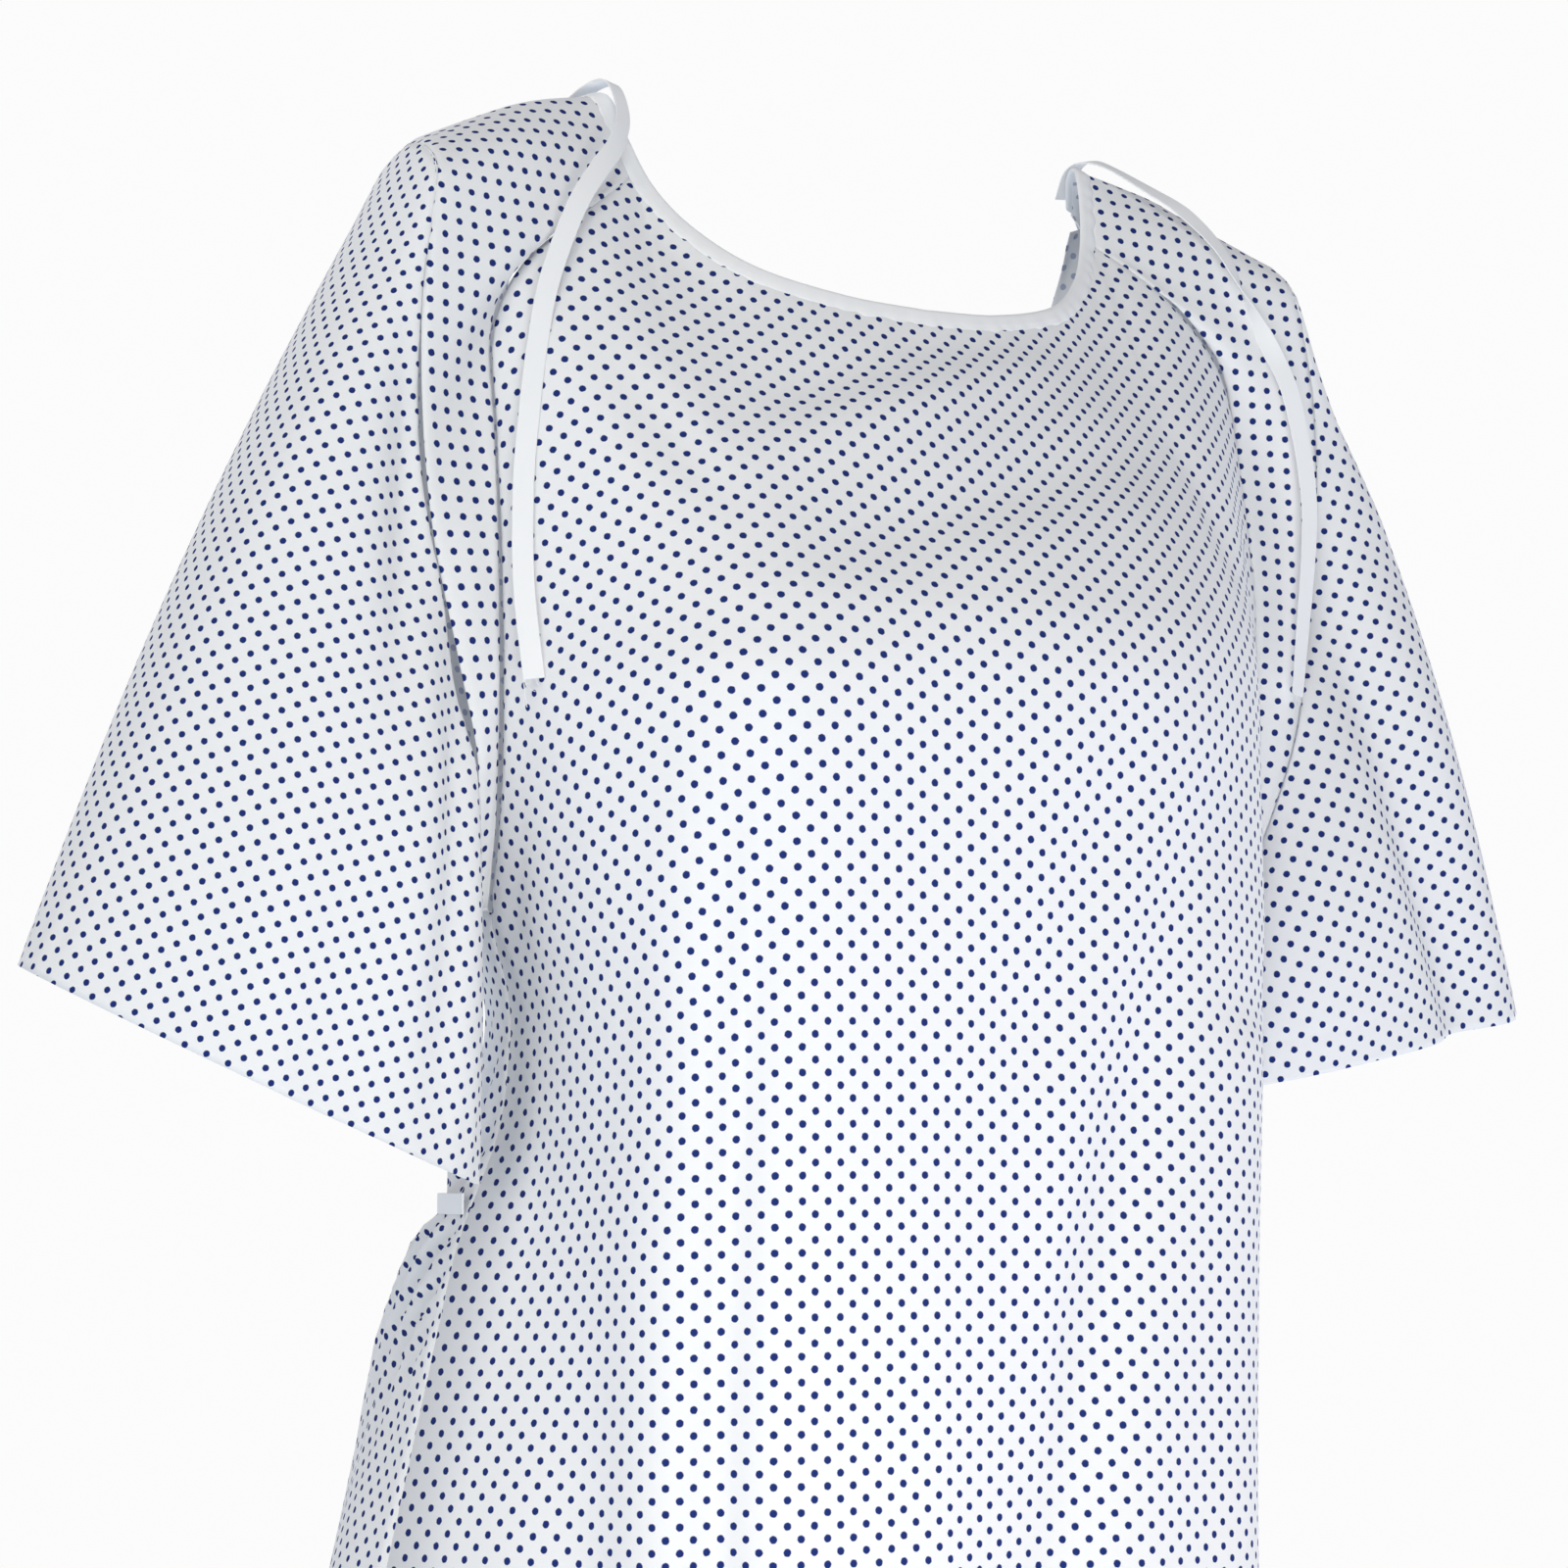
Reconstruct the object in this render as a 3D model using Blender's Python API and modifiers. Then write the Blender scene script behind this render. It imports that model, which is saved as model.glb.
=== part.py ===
"""Patient gown, hanging as it is worn, open down the back and tied at the waist.

Units are metres and +Z is up. The origin is on the shoulder line, midway between the two
points where the neckline crosses it. The gown's front faces -Y and the wearer's left is +X.
Each panel is a thin shell lofted between its own seams.
"""

import math

import bpy
import numpy as np
from mathutils import Matrix

# Cloth, tape and sewing
CLOTH_THICK = 0.0008
TAPE_WIDTH = 0.0095
TAPE_THICK = 0.0016
TIE_DIAMETER = 0.0032
SEAM_GAP = 0.0020
TIE_LIFT = 0.0016

# Heights
ARMPIT_Z = -0.385
WAIST_Z = -0.515
BACK_BOTTOM_Z = -0.527
SKIRT_TOP_Z = -0.533
HEM_Z = -1.150

# The hanging cloth's level sections by height: how far they reach, how square and how deep they are
RIGHT_WIDTHS = ((-1.150, 0.345), (-0.533, 0.205), (-0.480, 0.183), (-0.430, 0.178),
                (-0.385, 0.190), (-0.265, 0.184), (-0.045, 0.190))
LEFT_WIDTHS = ((-1.150, 0.180), (-0.533, 0.1825), (-0.450, 0.187), (-0.385, 0.190),
               (-0.265, 0.184), (-0.045, 0.190))
RIGHT_CORE = 0.176
RIGHT_SQUARENESS = ((-1.150, 4.4), (-0.670, 5.2), (-0.400, 5.2), (-0.300, 4.4), (-0.240, 3.2),
                    (-0.045, 3.0))
LEFT_SQUARENESS = ((-1.150, 2.0), (-0.670, 2.3), (-0.400, 2.5), (-0.265, 2.6), (-0.045, 3.0))
BACK_SQUARENESS = 2.4
FRONT_DEPTHS = ((-1.150, 0.185), (-0.670, 0.167), (-0.400, 0.162), (-0.300, 0.163),
                (-0.262, 0.158), (-0.235, 0.146), (-0.200, 0.127), (-0.150, 0.098),
                (-0.100, 0.070), (-0.045, 0.045))
BACK_DEPTHS = ((-1.150, 0.228), (-0.800, 0.222), (-0.677, 0.219), (-0.627, 0.214),
               (-0.585, 0.203), (-0.560, 0.180), (-0.536, 0.150), (-0.515, 0.126),
               (-0.450, 0.117), (-0.340, 0.112), (-0.190, 0.105), (-0.045, 0.075))

# Edges and seams of the wearer's left half, mirrored for the right half
NECK_EDGE = ((0.0, -0.067, -0.101), (0.040, -0.063, -0.098), (0.080, -0.051, -0.087),
             (0.104, -0.034, -0.068), (0.118, -0.019, -0.046), (0.126, -0.007, -0.020),
             (0.130, 0.004, 0.001), (0.136, 0.020, 0.001), (0.145, 0.034, -0.010))
NECK_BOTTOM = NECK_EDGE[0]
NECK_TOP = NECK_EDGE[6]
YOKE_ON_NECK = 0.66
FRONT_YOKE_SEAM = ((0.158, -0.030, -0.065), (0.190, -0.030, -0.094), (0.203, -0.028, -0.125),
                   (0.2045, -0.035, -0.169), (0.205, -0.042, -0.220), (0.203, -0.041, -0.290),
                   (0.197, -0.025, -0.345), (0.190, -0.0005, -0.3845))
BACK_YOKE_SEAM = ((0.186, 0.046, -0.052), (0.201, 0.055, -0.110), (0.206, 0.060, -0.190),
                  (0.204, 0.055, -0.270), (0.198, 0.033, -0.345), (0.190, 0.0005, -0.3845))
FRONT_ARMHOLE = ((0.2340, 0.0, -0.0365), (0.2345, -0.020, -0.0420), (0.2350, -0.0370, -0.056),
                 (0.2386, -0.042, -0.083), (0.2430, -0.043, -0.120), (0.2425, -0.044, -0.170),
                 (0.2370, -0.045, -0.226), (0.2250, -0.0480, -0.283), (0.2130, -0.042, -0.325),
                 (0.2070, -0.022, -0.362), (0.2015, -0.0005, -0.3850))
BACK_ARMHOLE = ((0.2340, 0.0, -0.0365), (0.2350, 0.020, -0.0410), (0.2370, 0.040, -0.058),
                (0.2420, 0.050, -0.110), (0.2420, 0.054, -0.170), (0.2360, 0.054, -0.230),
                (0.2240, 0.050, -0.290), (0.2100, 0.036, -0.345), (0.2015, 0.0005, -0.3850))
BACK_EDGE = ((0.1480, 0.038, -0.020), (0.1530, 0.055, -0.045), (0.150, 0.075, -0.090),
             (0.1300, 0.092, -0.160), (0.0950, 0.104, -0.250), (0.055, 0.110, -0.340),
             (0.0240, 0.115, -0.430), (0.0070, 0.126, -0.515), (0.007, 0.1390, -0.527))
SKIRT_EDGE_TOP = 0.012
SKIRT_EDGE_HEM = 0.045
EDGE_SETTLE = 0.20
ROW_CROWDING = 1.3
WAIST_TIE_REACH = 86

# Sleeves
SLEEVE_HEM_OUTER = (0.401, 0.012, -0.415)
SLEEVE_HEM_INNER = (0.209, -0.012, -0.505)
SLEEVE_HEM_DEPTH = 0.052
# By side, with -1 the wearer's right: how far the hem hangs lower in front, and how far its inner end lifts
SLEEVE_HEM_DROPS = {-1: 0.012, 1: 0.0}
SLEEVE_HEM_RISES = {-1: 0.0, 1: 0.045}
SLEEVE_FULLNESS = 0.014
SLEEVE_CROWN = 0.009

# The yoke rises a little between the neck and the sleeve, over this height of the shoulder
YOKE_CROWN = 0.006
YOKE_CROWN_REACH = 0.06

# Each neck tie is sewn on behind the shoulder line, lies over it and hangs down the front
RIGHT_NECK_TIE = ((-0.1440, 0.0345, -0.0050), (-0.1345, 0.0180, 0.0070), (-0.1290, 0.0030, 0.0070),
                  (-0.1290, -0.0090, -0.0110), (-0.1380, -0.0210, -0.0290),
                  (-0.1510, -0.0300, -0.0445), (-0.1660, -0.0370, -0.0660),
                  (-0.1820, -0.0430, -0.1030), (-0.1900, -0.0475, -0.1350),
                  (-0.1955, -0.0515, -0.1660), (-0.1995, -0.0545, -0.2010),
                  (-0.2015, -0.0600, -0.2450), (-0.2000, -0.0680, -0.2880))
LEFT_NECK_TIE = ((0.1440, 0.0345, -0.0050), (0.1400, 0.0180, 0.0065), (0.1450, 0.0030, 0.0060),
                 (0.1660, -0.0100, -0.0080), (0.1820, -0.0200, -0.0210), (0.1960, -0.0320, -0.0430),
                 (0.2080, -0.0380, -0.0720), (0.2160, -0.0430, -0.0910), (0.2240, -0.0470, -0.1110),
                 (0.2300, -0.0490, -0.1400), (0.2330, -0.0500, -0.1690), (0.2310, -0.0510, -0.1970),
                 (0.2260, -0.0520, -0.2350), (0.2210, -0.0540, -0.2660))
KNOT_SIZE = (0.024, 0.012, 0.016)
KNOT_DEPTH = 0.141
TAIL_LENGTH = 0.140
TAIL_TOP = (0.0060, 0.1440, -0.5265)
TAIL_SPREAD = 0.022
TAIL_LIFT = 0.0060

# Mesh density
FRONT_NECK_STEPS = 7
YOKE_NECK_STEPS = 4
FRONT_SEAM_STEPS = 9
BACK_SEAM_STEPS = 8
SIDE_SEAM_STEPS = 6
PANEL_ROWS = 14
YOKE_COLUMNS = 4
SLEEVE_RINGS = 8
SLEEVE_SIDES = 24
BACK_COLUMNS = 8
SKIRT_ROWS = 8
BINDING_STEPS = 41
TAPE_STEPS = 17
TIE_POINTS = 40
TAIL_POINTS = 16
CURVE_DENSITY = 240
KNOT_CUTS = 2

WHITE_COTTON = (0.86, 0.87, 0.90, 1.0)
WHITE_TAPE = (0.90, 0.91, 0.93, 1.0)
CLOTH_ROUGHNESS = 0.90


def clear_scene():
    for obj in list(bpy.data.objects):
        bpy.data.objects.remove(obj, do_unlink=True)


def make_collection(name):
    collection = bpy.data.collections.new(name)
    bpy.context.scene.collection.children.link(collection)
    return collection


def make_material(name, color):
    material = bpy.data.materials.new(name)
    material.use_nodes = True
    shader = material.node_tree.nodes["Principled BSDF"]
    shader.inputs["Base Color"].default_value = color
    shader.inputs["Roughness"].default_value = CLOTH_ROUGHNESS
    shader.inputs["Metallic"].default_value = 0.0
    return material


def smooth_path(points, count):
    """Evenly spaced points on a Catmull-Rom curve through the given points."""
    knots = np.array(points, float)
    padded = np.vstack([2 * knots[0] - knots[1], knots, 2 * knots[-1] - knots[-2]])
    along = np.linspace(0, len(knots) - 1, CURVE_DENSITY)
    span = np.minimum(along.astype(int), len(knots) - 2)
    t = (along - span)[:, None]
    a, b, c, d = (padded[span + step] for step in range(4))
    dense = 0.5 * (2 * b + (c - a) * t + (2 * a - 5 * b + 4 * c - d) * t**2
                   + (3 * b - a - 3 * c + d) * t**3)
    steps = np.linalg.norm(np.diff(dense, axis=0), axis=1)
    length = np.concatenate([[0], np.cumsum(steps)])
    wanted = np.linspace(0, length[-1], count)
    return np.stack([np.interp(wanted, length, column) for column in dense.T], 1)


def value_at(table, z):
    """A value that changes with height, from a smooth curve through the table."""
    curve = smooth_path(table, CURVE_DENSITY)
    return np.interp(z, curve[:, 0], curve[:, 1])


def reach(z):
    """How far the level section reaches to the wearer's right and left at a height."""
    return [np.interp(z, *np.transpose(table)) for table in (RIGHT_WIDTHS, LEFT_WIDTHS)]


def centre_x(z):
    right, left = reach(z)
    return (left - right) / 2


def half_width(z):
    return sum(reach(z)) / 2


def front_section(z, angle):
    """A point of the front's level section. Angle 0 is the middle and 90 degrees is the side seam.

    The flare on the wearer's right is all in the cloth behind the front's corner.
    """
    right, left = reach(z)
    core = np.where(angle < 0, np.minimum(right, RIGHT_CORE), left)
    power = 2 / np.where(angle < 0, value_at(RIGHT_SQUARENESS, z), value_at(LEFT_SQUARENESS, z))
    behind = np.abs(np.cos(angle)) ** power
    flare = np.where(angle < 0, right - core, 0) * (1 - behind)
    across = core * np.sign(angle) * np.abs(np.sin(angle)) ** power - flare
    return np.stack([across, -value_at(FRONT_DEPTHS, z) * behind, z], -1)


def back_section(z, angle, side):
    """The same behind the wearer, on one side: side is 1 for the wearer's left, -1 for the right."""
    power = 2 / BACK_SQUARENESS
    across = half_width(z) * np.sin(angle) ** power
    away = value_at(BACK_DEPTHS, z) * np.cos(angle) ** power
    return np.stack([centre_x(z) + side * across, away, z], -1)


def back_angle(z, across):
    """The back section's angle at a distance from the centre line."""
    share = np.clip(across / half_width(z), 0, 1)
    return np.arcsin(share ** (BACK_SQUARENESS / 2))


def mirrored(points):
    return points * np.array([-1, 1, 1])


def on_side(points, side):
    """A left-half curve on either side, following the sections' own middle."""
    placed = points.copy()
    placed[:, 0] = side * points[:, 0] + centre_x(points[:, 2])
    return placed


def off_neck(points, distance):
    """Neck edge points of the left half, moved down the cloth by a distance."""
    away = np.stack([0.94 * points[:, 0] / NECK_TOP[0],
                     -0.35 * points[:, 1] / NECK_BOTTOM[1],
                     -0.22 - 0.72 * np.maximum(0, points[:, 2] / NECK_BOTTOM[2])], 1)
    return points + distance * away / np.linalg.norm(away, axis=1)[:, None]


def panel_neckline(start, end, count):
    """The panels' own neck edge, below the binding, between two shares of its length."""
    neck = smooth_path(NECK_EDGE, CURVE_DENSITY)
    shares = np.linspace(start, end, count)
    places = np.linspace(0, 1, CURVE_DENSITY)
    points = np.stack([np.interp(shares, places, column) for column in neck.T], 1)
    return off_neck(points, TAPE_WIDTH + SEAM_GAP)


def front_yoke_seam(count):
    top = panel_neckline(YOKE_ON_NECK, YOKE_ON_NECK, 1)
    return smooth_path(np.vstack([top, FRONT_YOKE_SEAM]), count)


def back_yoke_seam(count):
    top = panel_neckline(1, 1, 1)
    return smooth_path(np.vstack([top, BACK_YOKE_SEAM]), count)


def inset(grid, distance):
    """Draws a grid's four edges in, square to themselves, which leaves the gap along a seam."""
    moved = grid.copy()
    for edge, inner in (((0, slice(None)), (1, slice(None))), ((-1, slice(None)), (-2, slice(None))),
                        ((slice(None), 0), (slice(None), 1)), ((slice(None), -1), (slice(None), -2))):
        along = np.gradient(grid[edge], axis=0)
        along /= np.linalg.norm(along, axis=-1, keepdims=True)
        way = grid[inner] - grid[edge]
        way -= along * np.sum(way * along, axis=-1, keepdims=True)
        moved[edge] += distance * way / np.linalg.norm(way, axis=-1, keepdims=True)
    return moved


def offset(grid, distance):
    """A grid moved along its own normals."""
    along = np.gradient(grid, axis=0)
    across = np.gradient(grid, axis=1)
    normal = np.cross(along, across)
    return grid + distance * normal / np.linalg.norm(normal, axis=-1, keepdims=True)


def shell(name, grid, thickness, material, collection, ring=False):
    """A grid of points as an open surface, given its thickness by Solidify."""
    rows, columns = grid.shape[:2]
    last = columns if ring else columns - 1
    faces = []
    for row in range(rows - 1):
        for column in range(last):
            right = (column + 1) % columns
            faces.append((row * columns + column, row * columns + right,
                          (row + 1) * columns + right, (row + 1) * columns + column))
    mesh = bpy.data.meshes.new(name)
    mesh.from_pydata(grid.reshape(-1, 3).tolist(), [], faces)
    mesh.materials.append(material)
    mesh.shade_smooth()
    obj = bpy.data.objects.new(name, mesh)
    collection.objects.link(obj)
    solidify = obj.modifiers.new("Thickness", "SOLIDIFY")
    solidify.thickness = thickness
    solidify.offset = 0
    return obj


def tube(name, points, diameter, material, collection):
    """A soft tie as a plain round tube along its route."""
    curve = bpy.data.curves.new(name, "CURVE")
    curve.dimensions = "3D"
    curve.bevel_depth = diameter / 2
    curve.bevel_resolution = 2
    curve.use_fill_caps = True
    spline = curve.splines.new("POLY")
    spline.points.add(len(points) - 1)
    for place, point in zip(spline.points, points):
        place.co = (*point, 1)
    curve.materials.append(material)
    obj = bpy.data.objects.new(name, curve)
    collection.objects.link(obj)
    return obj


def hinge_at(obj, place):
    """Moves an object's origin onto its joint's axis without moving its shape."""
    obj.data.transform(Matrix.Translation(place).inverted())
    obj.location = place


def front_panel():
    """From the neckline and the two yoke seams down to the hem, side seam to side seam."""
    neck = panel_neckline(0, YOKE_ON_NECK, FRONT_NECK_STEPS + 1)
    left_top = np.vstack([neck, front_yoke_seam(FRONT_SEAM_STEPS + 1)[1:]])
    top = np.vstack([mirrored(left_top[:0:-1]), left_top])
    angle = np.linspace(-math.pi / 2, math.pi / 2, len(top))
    rows = []
    for share in np.linspace(0, 1, PANEL_ROWS):
        z = top[:, 2] + (HEM_Z - top[:, 2]) * share**ROW_CROWDING
        settled = np.clip((top[:, 2] - z) / EDGE_SETTLE, 0, 1)[:, None]
        correction = top - front_section(top[:, 2], angle)
        rows.append(front_section(z, angle) + correction * (1 - settled) ** 2)
    return inset(np.array(rows), SEAM_GAP / 2)


def shoulder_yoke(side):
    """The band over the shoulder, between the yoke seam and the armhole, armpit to armpit."""
    inner = np.vstack([front_yoke_seam(FRONT_SEAM_STEPS + 1)[::-1],
                       panel_neckline(YOKE_ON_NECK, 1, YOKE_NECK_STEPS + 1)[1:],
                       back_yoke_seam(BACK_SEAM_STEPS + 1)[1:]])
    front_rows = FRONT_SEAM_STEPS + YOKE_NECK_STEPS // 2
    back_rows = len(inner) - 1 - front_rows
    outer = np.vstack([smooth_path(FRONT_ARMHOLE, front_rows + 1)[::-1],
                       smooth_path(BACK_ARMHOLE, back_rows + 1)[1:]])
    shares = np.linspace(0, 1, YOKE_COLUMNS)[None, :, None]
    grid = inner[:, None] * (1 - shares) + outer[:, None] * shares
    near_ridge = np.clip(1 - (outer[:, 2].max() - outer[:, 2]) / YOKE_CROWN_REACH, 0, 1)
    grid[:, :, 2] += YOKE_CROWN * near_ridge[:, None] * np.sin(math.pi * shares[:, :, 0])
    return inset(grid, SEAM_GAP / 2) * np.array([side, 1, 1])


def sleeve(side):
    """A tube from the armhole to the sleeve hem, a flattened ring that hangs open."""
    half = SLEEVE_SIDES // 2
    armhole = np.vstack([smooth_path(FRONT_ARMHOLE, half + 1)[:-1],
                         smooth_path(BACK_ARMHOLE, half + 1)[:0:-1]])
    outer, inner = np.array(SLEEVE_HEM_OUTER), np.array(SLEEVE_HEM_INNER)
    turn = np.linspace(0, 2 * math.pi, SLEEVE_SIDES, endpoint=False)[:, None]
    hem = (outer + inner) / 2 + (outer - inner) / 2 * np.cos(turn)
    hem[:, 1] -= SLEEVE_HEM_DEPTH * np.sin(turn[:, 0])
    hem[:, 2] -= SLEEVE_HEM_DROPS[side] * np.sin(turn[:, 0])
    hem[:, 2] += SLEEVE_HEM_RISES[side] * (1 - np.cos(turn[:, 0])) / 2
    start = SEAM_GAP / np.linalg.norm(hem - armhole, axis=1)[:, None]
    rings = []
    for share in np.linspace(0, 1, SLEEVE_RINGS):
        way = np.maximum(share, start)
        ring = armhole + (hem - armhole) * way
        ring[:, 1] -= SLEEVE_FULLNESS * math.sin(math.pi * share) * np.sin(turn[:, 0])
        ring[:, 0] += SLEEVE_CROWN * math.sin(math.pi * share) * np.maximum(0, np.cos(turn[:, 0]))
        rings.append(ring)
    return np.array(rings) * np.array([side, 1, 1])


def back_panel(side):
    """The upper back, from the open back edge to the yoke seam and, below it, the side seam."""
    seam = back_yoke_seam(BACK_SEAM_STEPS + 1)
    z = np.linspace(seam[-1, 2], BACK_BOTTOM_Z, SIDE_SEAM_STEPS + 1)[1:]
    outer = np.vstack([seam, np.stack([half_width(z), np.zeros(len(z)), z], 1)])
    edge = smooth_path(BACK_EDGE, len(outer))
    rows = []
    for near, far in zip(edge, outer):
        share = np.linspace(0, 1, BACK_COLUMNS)
        z = near[2] + (far[2] - near[2]) * share
        first = back_angle(near[2], near[0])
        last = np.arccos(np.clip(far[1] / value_at(BACK_DEPTHS, far[2]), 0, 1) ** (BACK_SQUARENESS / 2))
        angle = first + (last - first) * share
        row = back_section(z, angle, 1)
        row[:, 0] -= centre_x(z)
        row += (near - row[0]) * (1 - share[:, None]) ** 2
        row += (far - row[-1]) * share[:, None] ** 2
        rows.append(on_side(row, side))
    return inset(np.array(rows), SEAM_GAP / 2)


def back_skirt(side):
    """The free lower back, which swings on the side seam."""
    rows = []
    for z in np.linspace(SKIRT_TOP_Z, HEM_Z, SKIRT_ROWS):
        fall = (SKIRT_TOP_Z - z) / (SKIRT_TOP_Z - HEM_Z)
        edge = back_angle(z, SKIRT_EDGE_TOP + (SKIRT_EDGE_HEM - SKIRT_EDGE_TOP) * fall)
        angle = np.linspace(edge, math.pi / 2, BACK_COLUMNS)
        rows.append(back_section(np.full(BACK_COLUMNS, z), angle, side))
    return inset(np.array(rows), SEAM_GAP / 2)


def neck_binding():
    """White tape folded over the neck edge, from one sewn tie round the front to the other."""
    left = smooth_path(NECK_EDGE, BINDING_STEPS // 2 + 1)
    rows = []
    for share in np.linspace(0, 1, 3):
        placed = off_neck(left, TAPE_WIDTH * share)
        rows.append(np.vstack([mirrored(placed[:0:-1]), placed]))
    return np.array(rows)


def waist_tie(side):
    """Tape from the side seam round the back to the knot, lying on the back panel."""
    knot_side = KNOT_SIZE[0] / 2 + SEAM_GAP
    angle = np.linspace(back_angle(WAIST_Z, knot_side), math.radians(WAIST_TIE_REACH), TAPE_STEPS)
    rows = []
    for height in (TAPE_WIDTH / 2, -TAPE_WIDTH / 2):
        z = np.full(TAPE_STEPS, WAIST_Z + height)
        level = back_section(z, angle, side)
        level[:, 1] = back_section(np.full(TAPE_STEPS, WAIST_Z), angle, side)[:, 1]
        rows.append(level)
    lift = CLOTH_THICK / 2 + TAPE_THICK / 2 + TIE_LIFT
    return offset(np.array(rows), side * lift)


def waist_knot(material, collection):
    """The tied knot at the middle of the back."""
    bpy.ops.mesh.primitive_cube_add(size=1)
    knot = bpy.context.object
    knot.name = "waist_knot"
    for owner in list(knot.users_collection):
        owner.objects.unlink(knot)
    collection.objects.link(knot)
    knot.data.transform(Matrix.Diagonal((*KNOT_SIZE, 1)))
    knot.location = (centre_x(WAIST_Z), KNOT_DEPTH, WAIST_Z)
    knot.data.materials.append(material)
    rounded = knot.modifiers.new("Rounded", "SUBSURF")
    rounded.levels = KNOT_CUTS
    rounded.render_levels = KNOT_CUTS


def waist_tail(side):
    """The loose end of a waist tie, falling from the knot over its own side of the skirt."""
    z = np.linspace(TAIL_TOP[2], TAIL_TOP[2] - TAIL_LENGTH, TAIL_POINTS)
    fall = (TAIL_TOP[2] - z) / TAIL_LENGTH
    x = centre_x(z) + side * (TAIL_TOP[0] + TAIL_SPREAD * np.sin(fall * math.pi / 2))
    y = np.maximum(TAIL_TOP[1], value_at(BACK_DEPTHS, z) + TAIL_LIFT)
    return smooth_path(np.stack([x, y, z], 1), TAIL_POINTS)


def build():
    clear_scene()
    gown = make_collection("patient_gown")
    cotton = make_material("printed_cotton", WHITE_COTTON)
    tape = make_material("white_tape", WHITE_TAPE)
    shell("front_panel", front_panel(), CLOTH_THICK, cotton, gown)
    shell("neck_binding", neck_binding(), TAPE_THICK, tape, gown)
    waist_knot(tape, gown)
    ties = {"right": RIGHT_NECK_TIE, "left": LEFT_NECK_TIE}
    for name, side in (("right", -1), ("left", 1)):
        shell(f"{name}_shoulder_yoke", shoulder_yoke(side), CLOTH_THICK, cotton, gown)
        arm = shell(f"{name}_sleeve", sleeve(side), CLOTH_THICK, cotton, gown, ring=True)
        hinge_at(arm, (side * FRONT_ARMHOLE[0][0], 0, FRONT_ARMHOLE[0][2]))
        shell(f"{name}_back_panel", back_panel(side), CLOTH_THICK, cotton, gown)
        skirt = shell(f"{name}_back_skirt", back_skirt(side), CLOTH_THICK, cotton, gown)
        seam_top = (centre_x(SKIRT_TOP_Z) + side * half_width(SKIRT_TOP_Z), 0, SKIRT_TOP_Z)
        hinge_at(skirt, seam_top)
        shell(f"{name}_waist_tie", waist_tie(side), TAPE_THICK, tape, gown)
        tail = tube(f"{name}_waist_tie_tail", waist_tail(side), TIE_DIAMETER, tape, gown)
        hinge_at(tail, seam_top)
        tie = tube(f"{name}_neck_tie", smooth_path(ties[name], TIE_POINTS), TIE_DIAMETER, tape, gown)
        hinge_at(tie, ties[name][0])


build()
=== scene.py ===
"""The patient gown's looks: fine cloth panels, tapes, print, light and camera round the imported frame.

Units are metres and +Z is up, as in the frame. The gown's front faces -Y and the wearer's left is +X.
Each panel is a grid of points between its own seams. It is given its folds, flattened into its
cutting pattern for the print, and then its thickness.
"""

import math

import bpy
import numpy as np
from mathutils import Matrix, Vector


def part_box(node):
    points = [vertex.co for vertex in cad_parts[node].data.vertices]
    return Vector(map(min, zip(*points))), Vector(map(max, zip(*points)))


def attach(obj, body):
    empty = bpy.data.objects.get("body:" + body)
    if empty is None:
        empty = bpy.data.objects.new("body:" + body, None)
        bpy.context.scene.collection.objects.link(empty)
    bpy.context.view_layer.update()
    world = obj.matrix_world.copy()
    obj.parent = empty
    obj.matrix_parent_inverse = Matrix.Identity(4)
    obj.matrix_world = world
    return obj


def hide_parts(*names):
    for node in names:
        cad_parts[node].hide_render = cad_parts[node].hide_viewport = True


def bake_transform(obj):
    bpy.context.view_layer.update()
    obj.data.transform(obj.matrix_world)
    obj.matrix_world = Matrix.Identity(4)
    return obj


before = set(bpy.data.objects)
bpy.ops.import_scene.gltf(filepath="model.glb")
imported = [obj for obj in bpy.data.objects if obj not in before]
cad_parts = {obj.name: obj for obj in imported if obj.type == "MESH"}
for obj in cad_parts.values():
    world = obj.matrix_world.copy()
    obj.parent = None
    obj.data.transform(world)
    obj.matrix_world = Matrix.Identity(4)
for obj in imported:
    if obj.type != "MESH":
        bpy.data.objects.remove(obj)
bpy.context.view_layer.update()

# The frame's own places
HEM_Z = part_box("front_panel")[0].z
ARMPIT_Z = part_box("left_shoulder_yoke")[0].z
WAIST_Z = (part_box("left_waist_tie")[0].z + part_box("left_waist_tie")[1].z) / 2
SKIRT_TOP_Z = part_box("left_back_skirt")[1].z
KNOT_LOW, KNOT_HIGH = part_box("waist_knot")
KNOT_CENTRE = (KNOT_LOW + KNOT_HIGH) / 2
KNOT_ENTRY = (KNOT_HIGH.x - KNOT_LOW.x) / 3

# Cloth and tape
CLOTH_THICK = 0.00045
HEM_THICK = 0.0012
HEM_TURN = 0.020
TAPE_WIDTH = 0.0095
TAPE_THICK = 0.0009
SEAM_RISE = 0.0011
SEAM_REACH = 0.0032
PUCKER = 0.00060
PUCKER_PITCH = 0.013
PUCKER_REACH = 0.012
SEAM_DRIFT = 1.6
SEAM_DRIFT_PITCH = 4.3 * PUCKER_PITCH
HEM_DRIFT = 1.4
HEM_DRIFT_LENGTH = 0.031
WAVE_STARTS = (0, 6)

# The print: staggered rows of round dots, by how often it repeats across and along the grain
DOT_RADIUS = 0.00165
DOT_EDGE = 0.00018
REPEAT_ACROSS = 0.0119
REPEAT_ALONG = 0.0106

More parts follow.
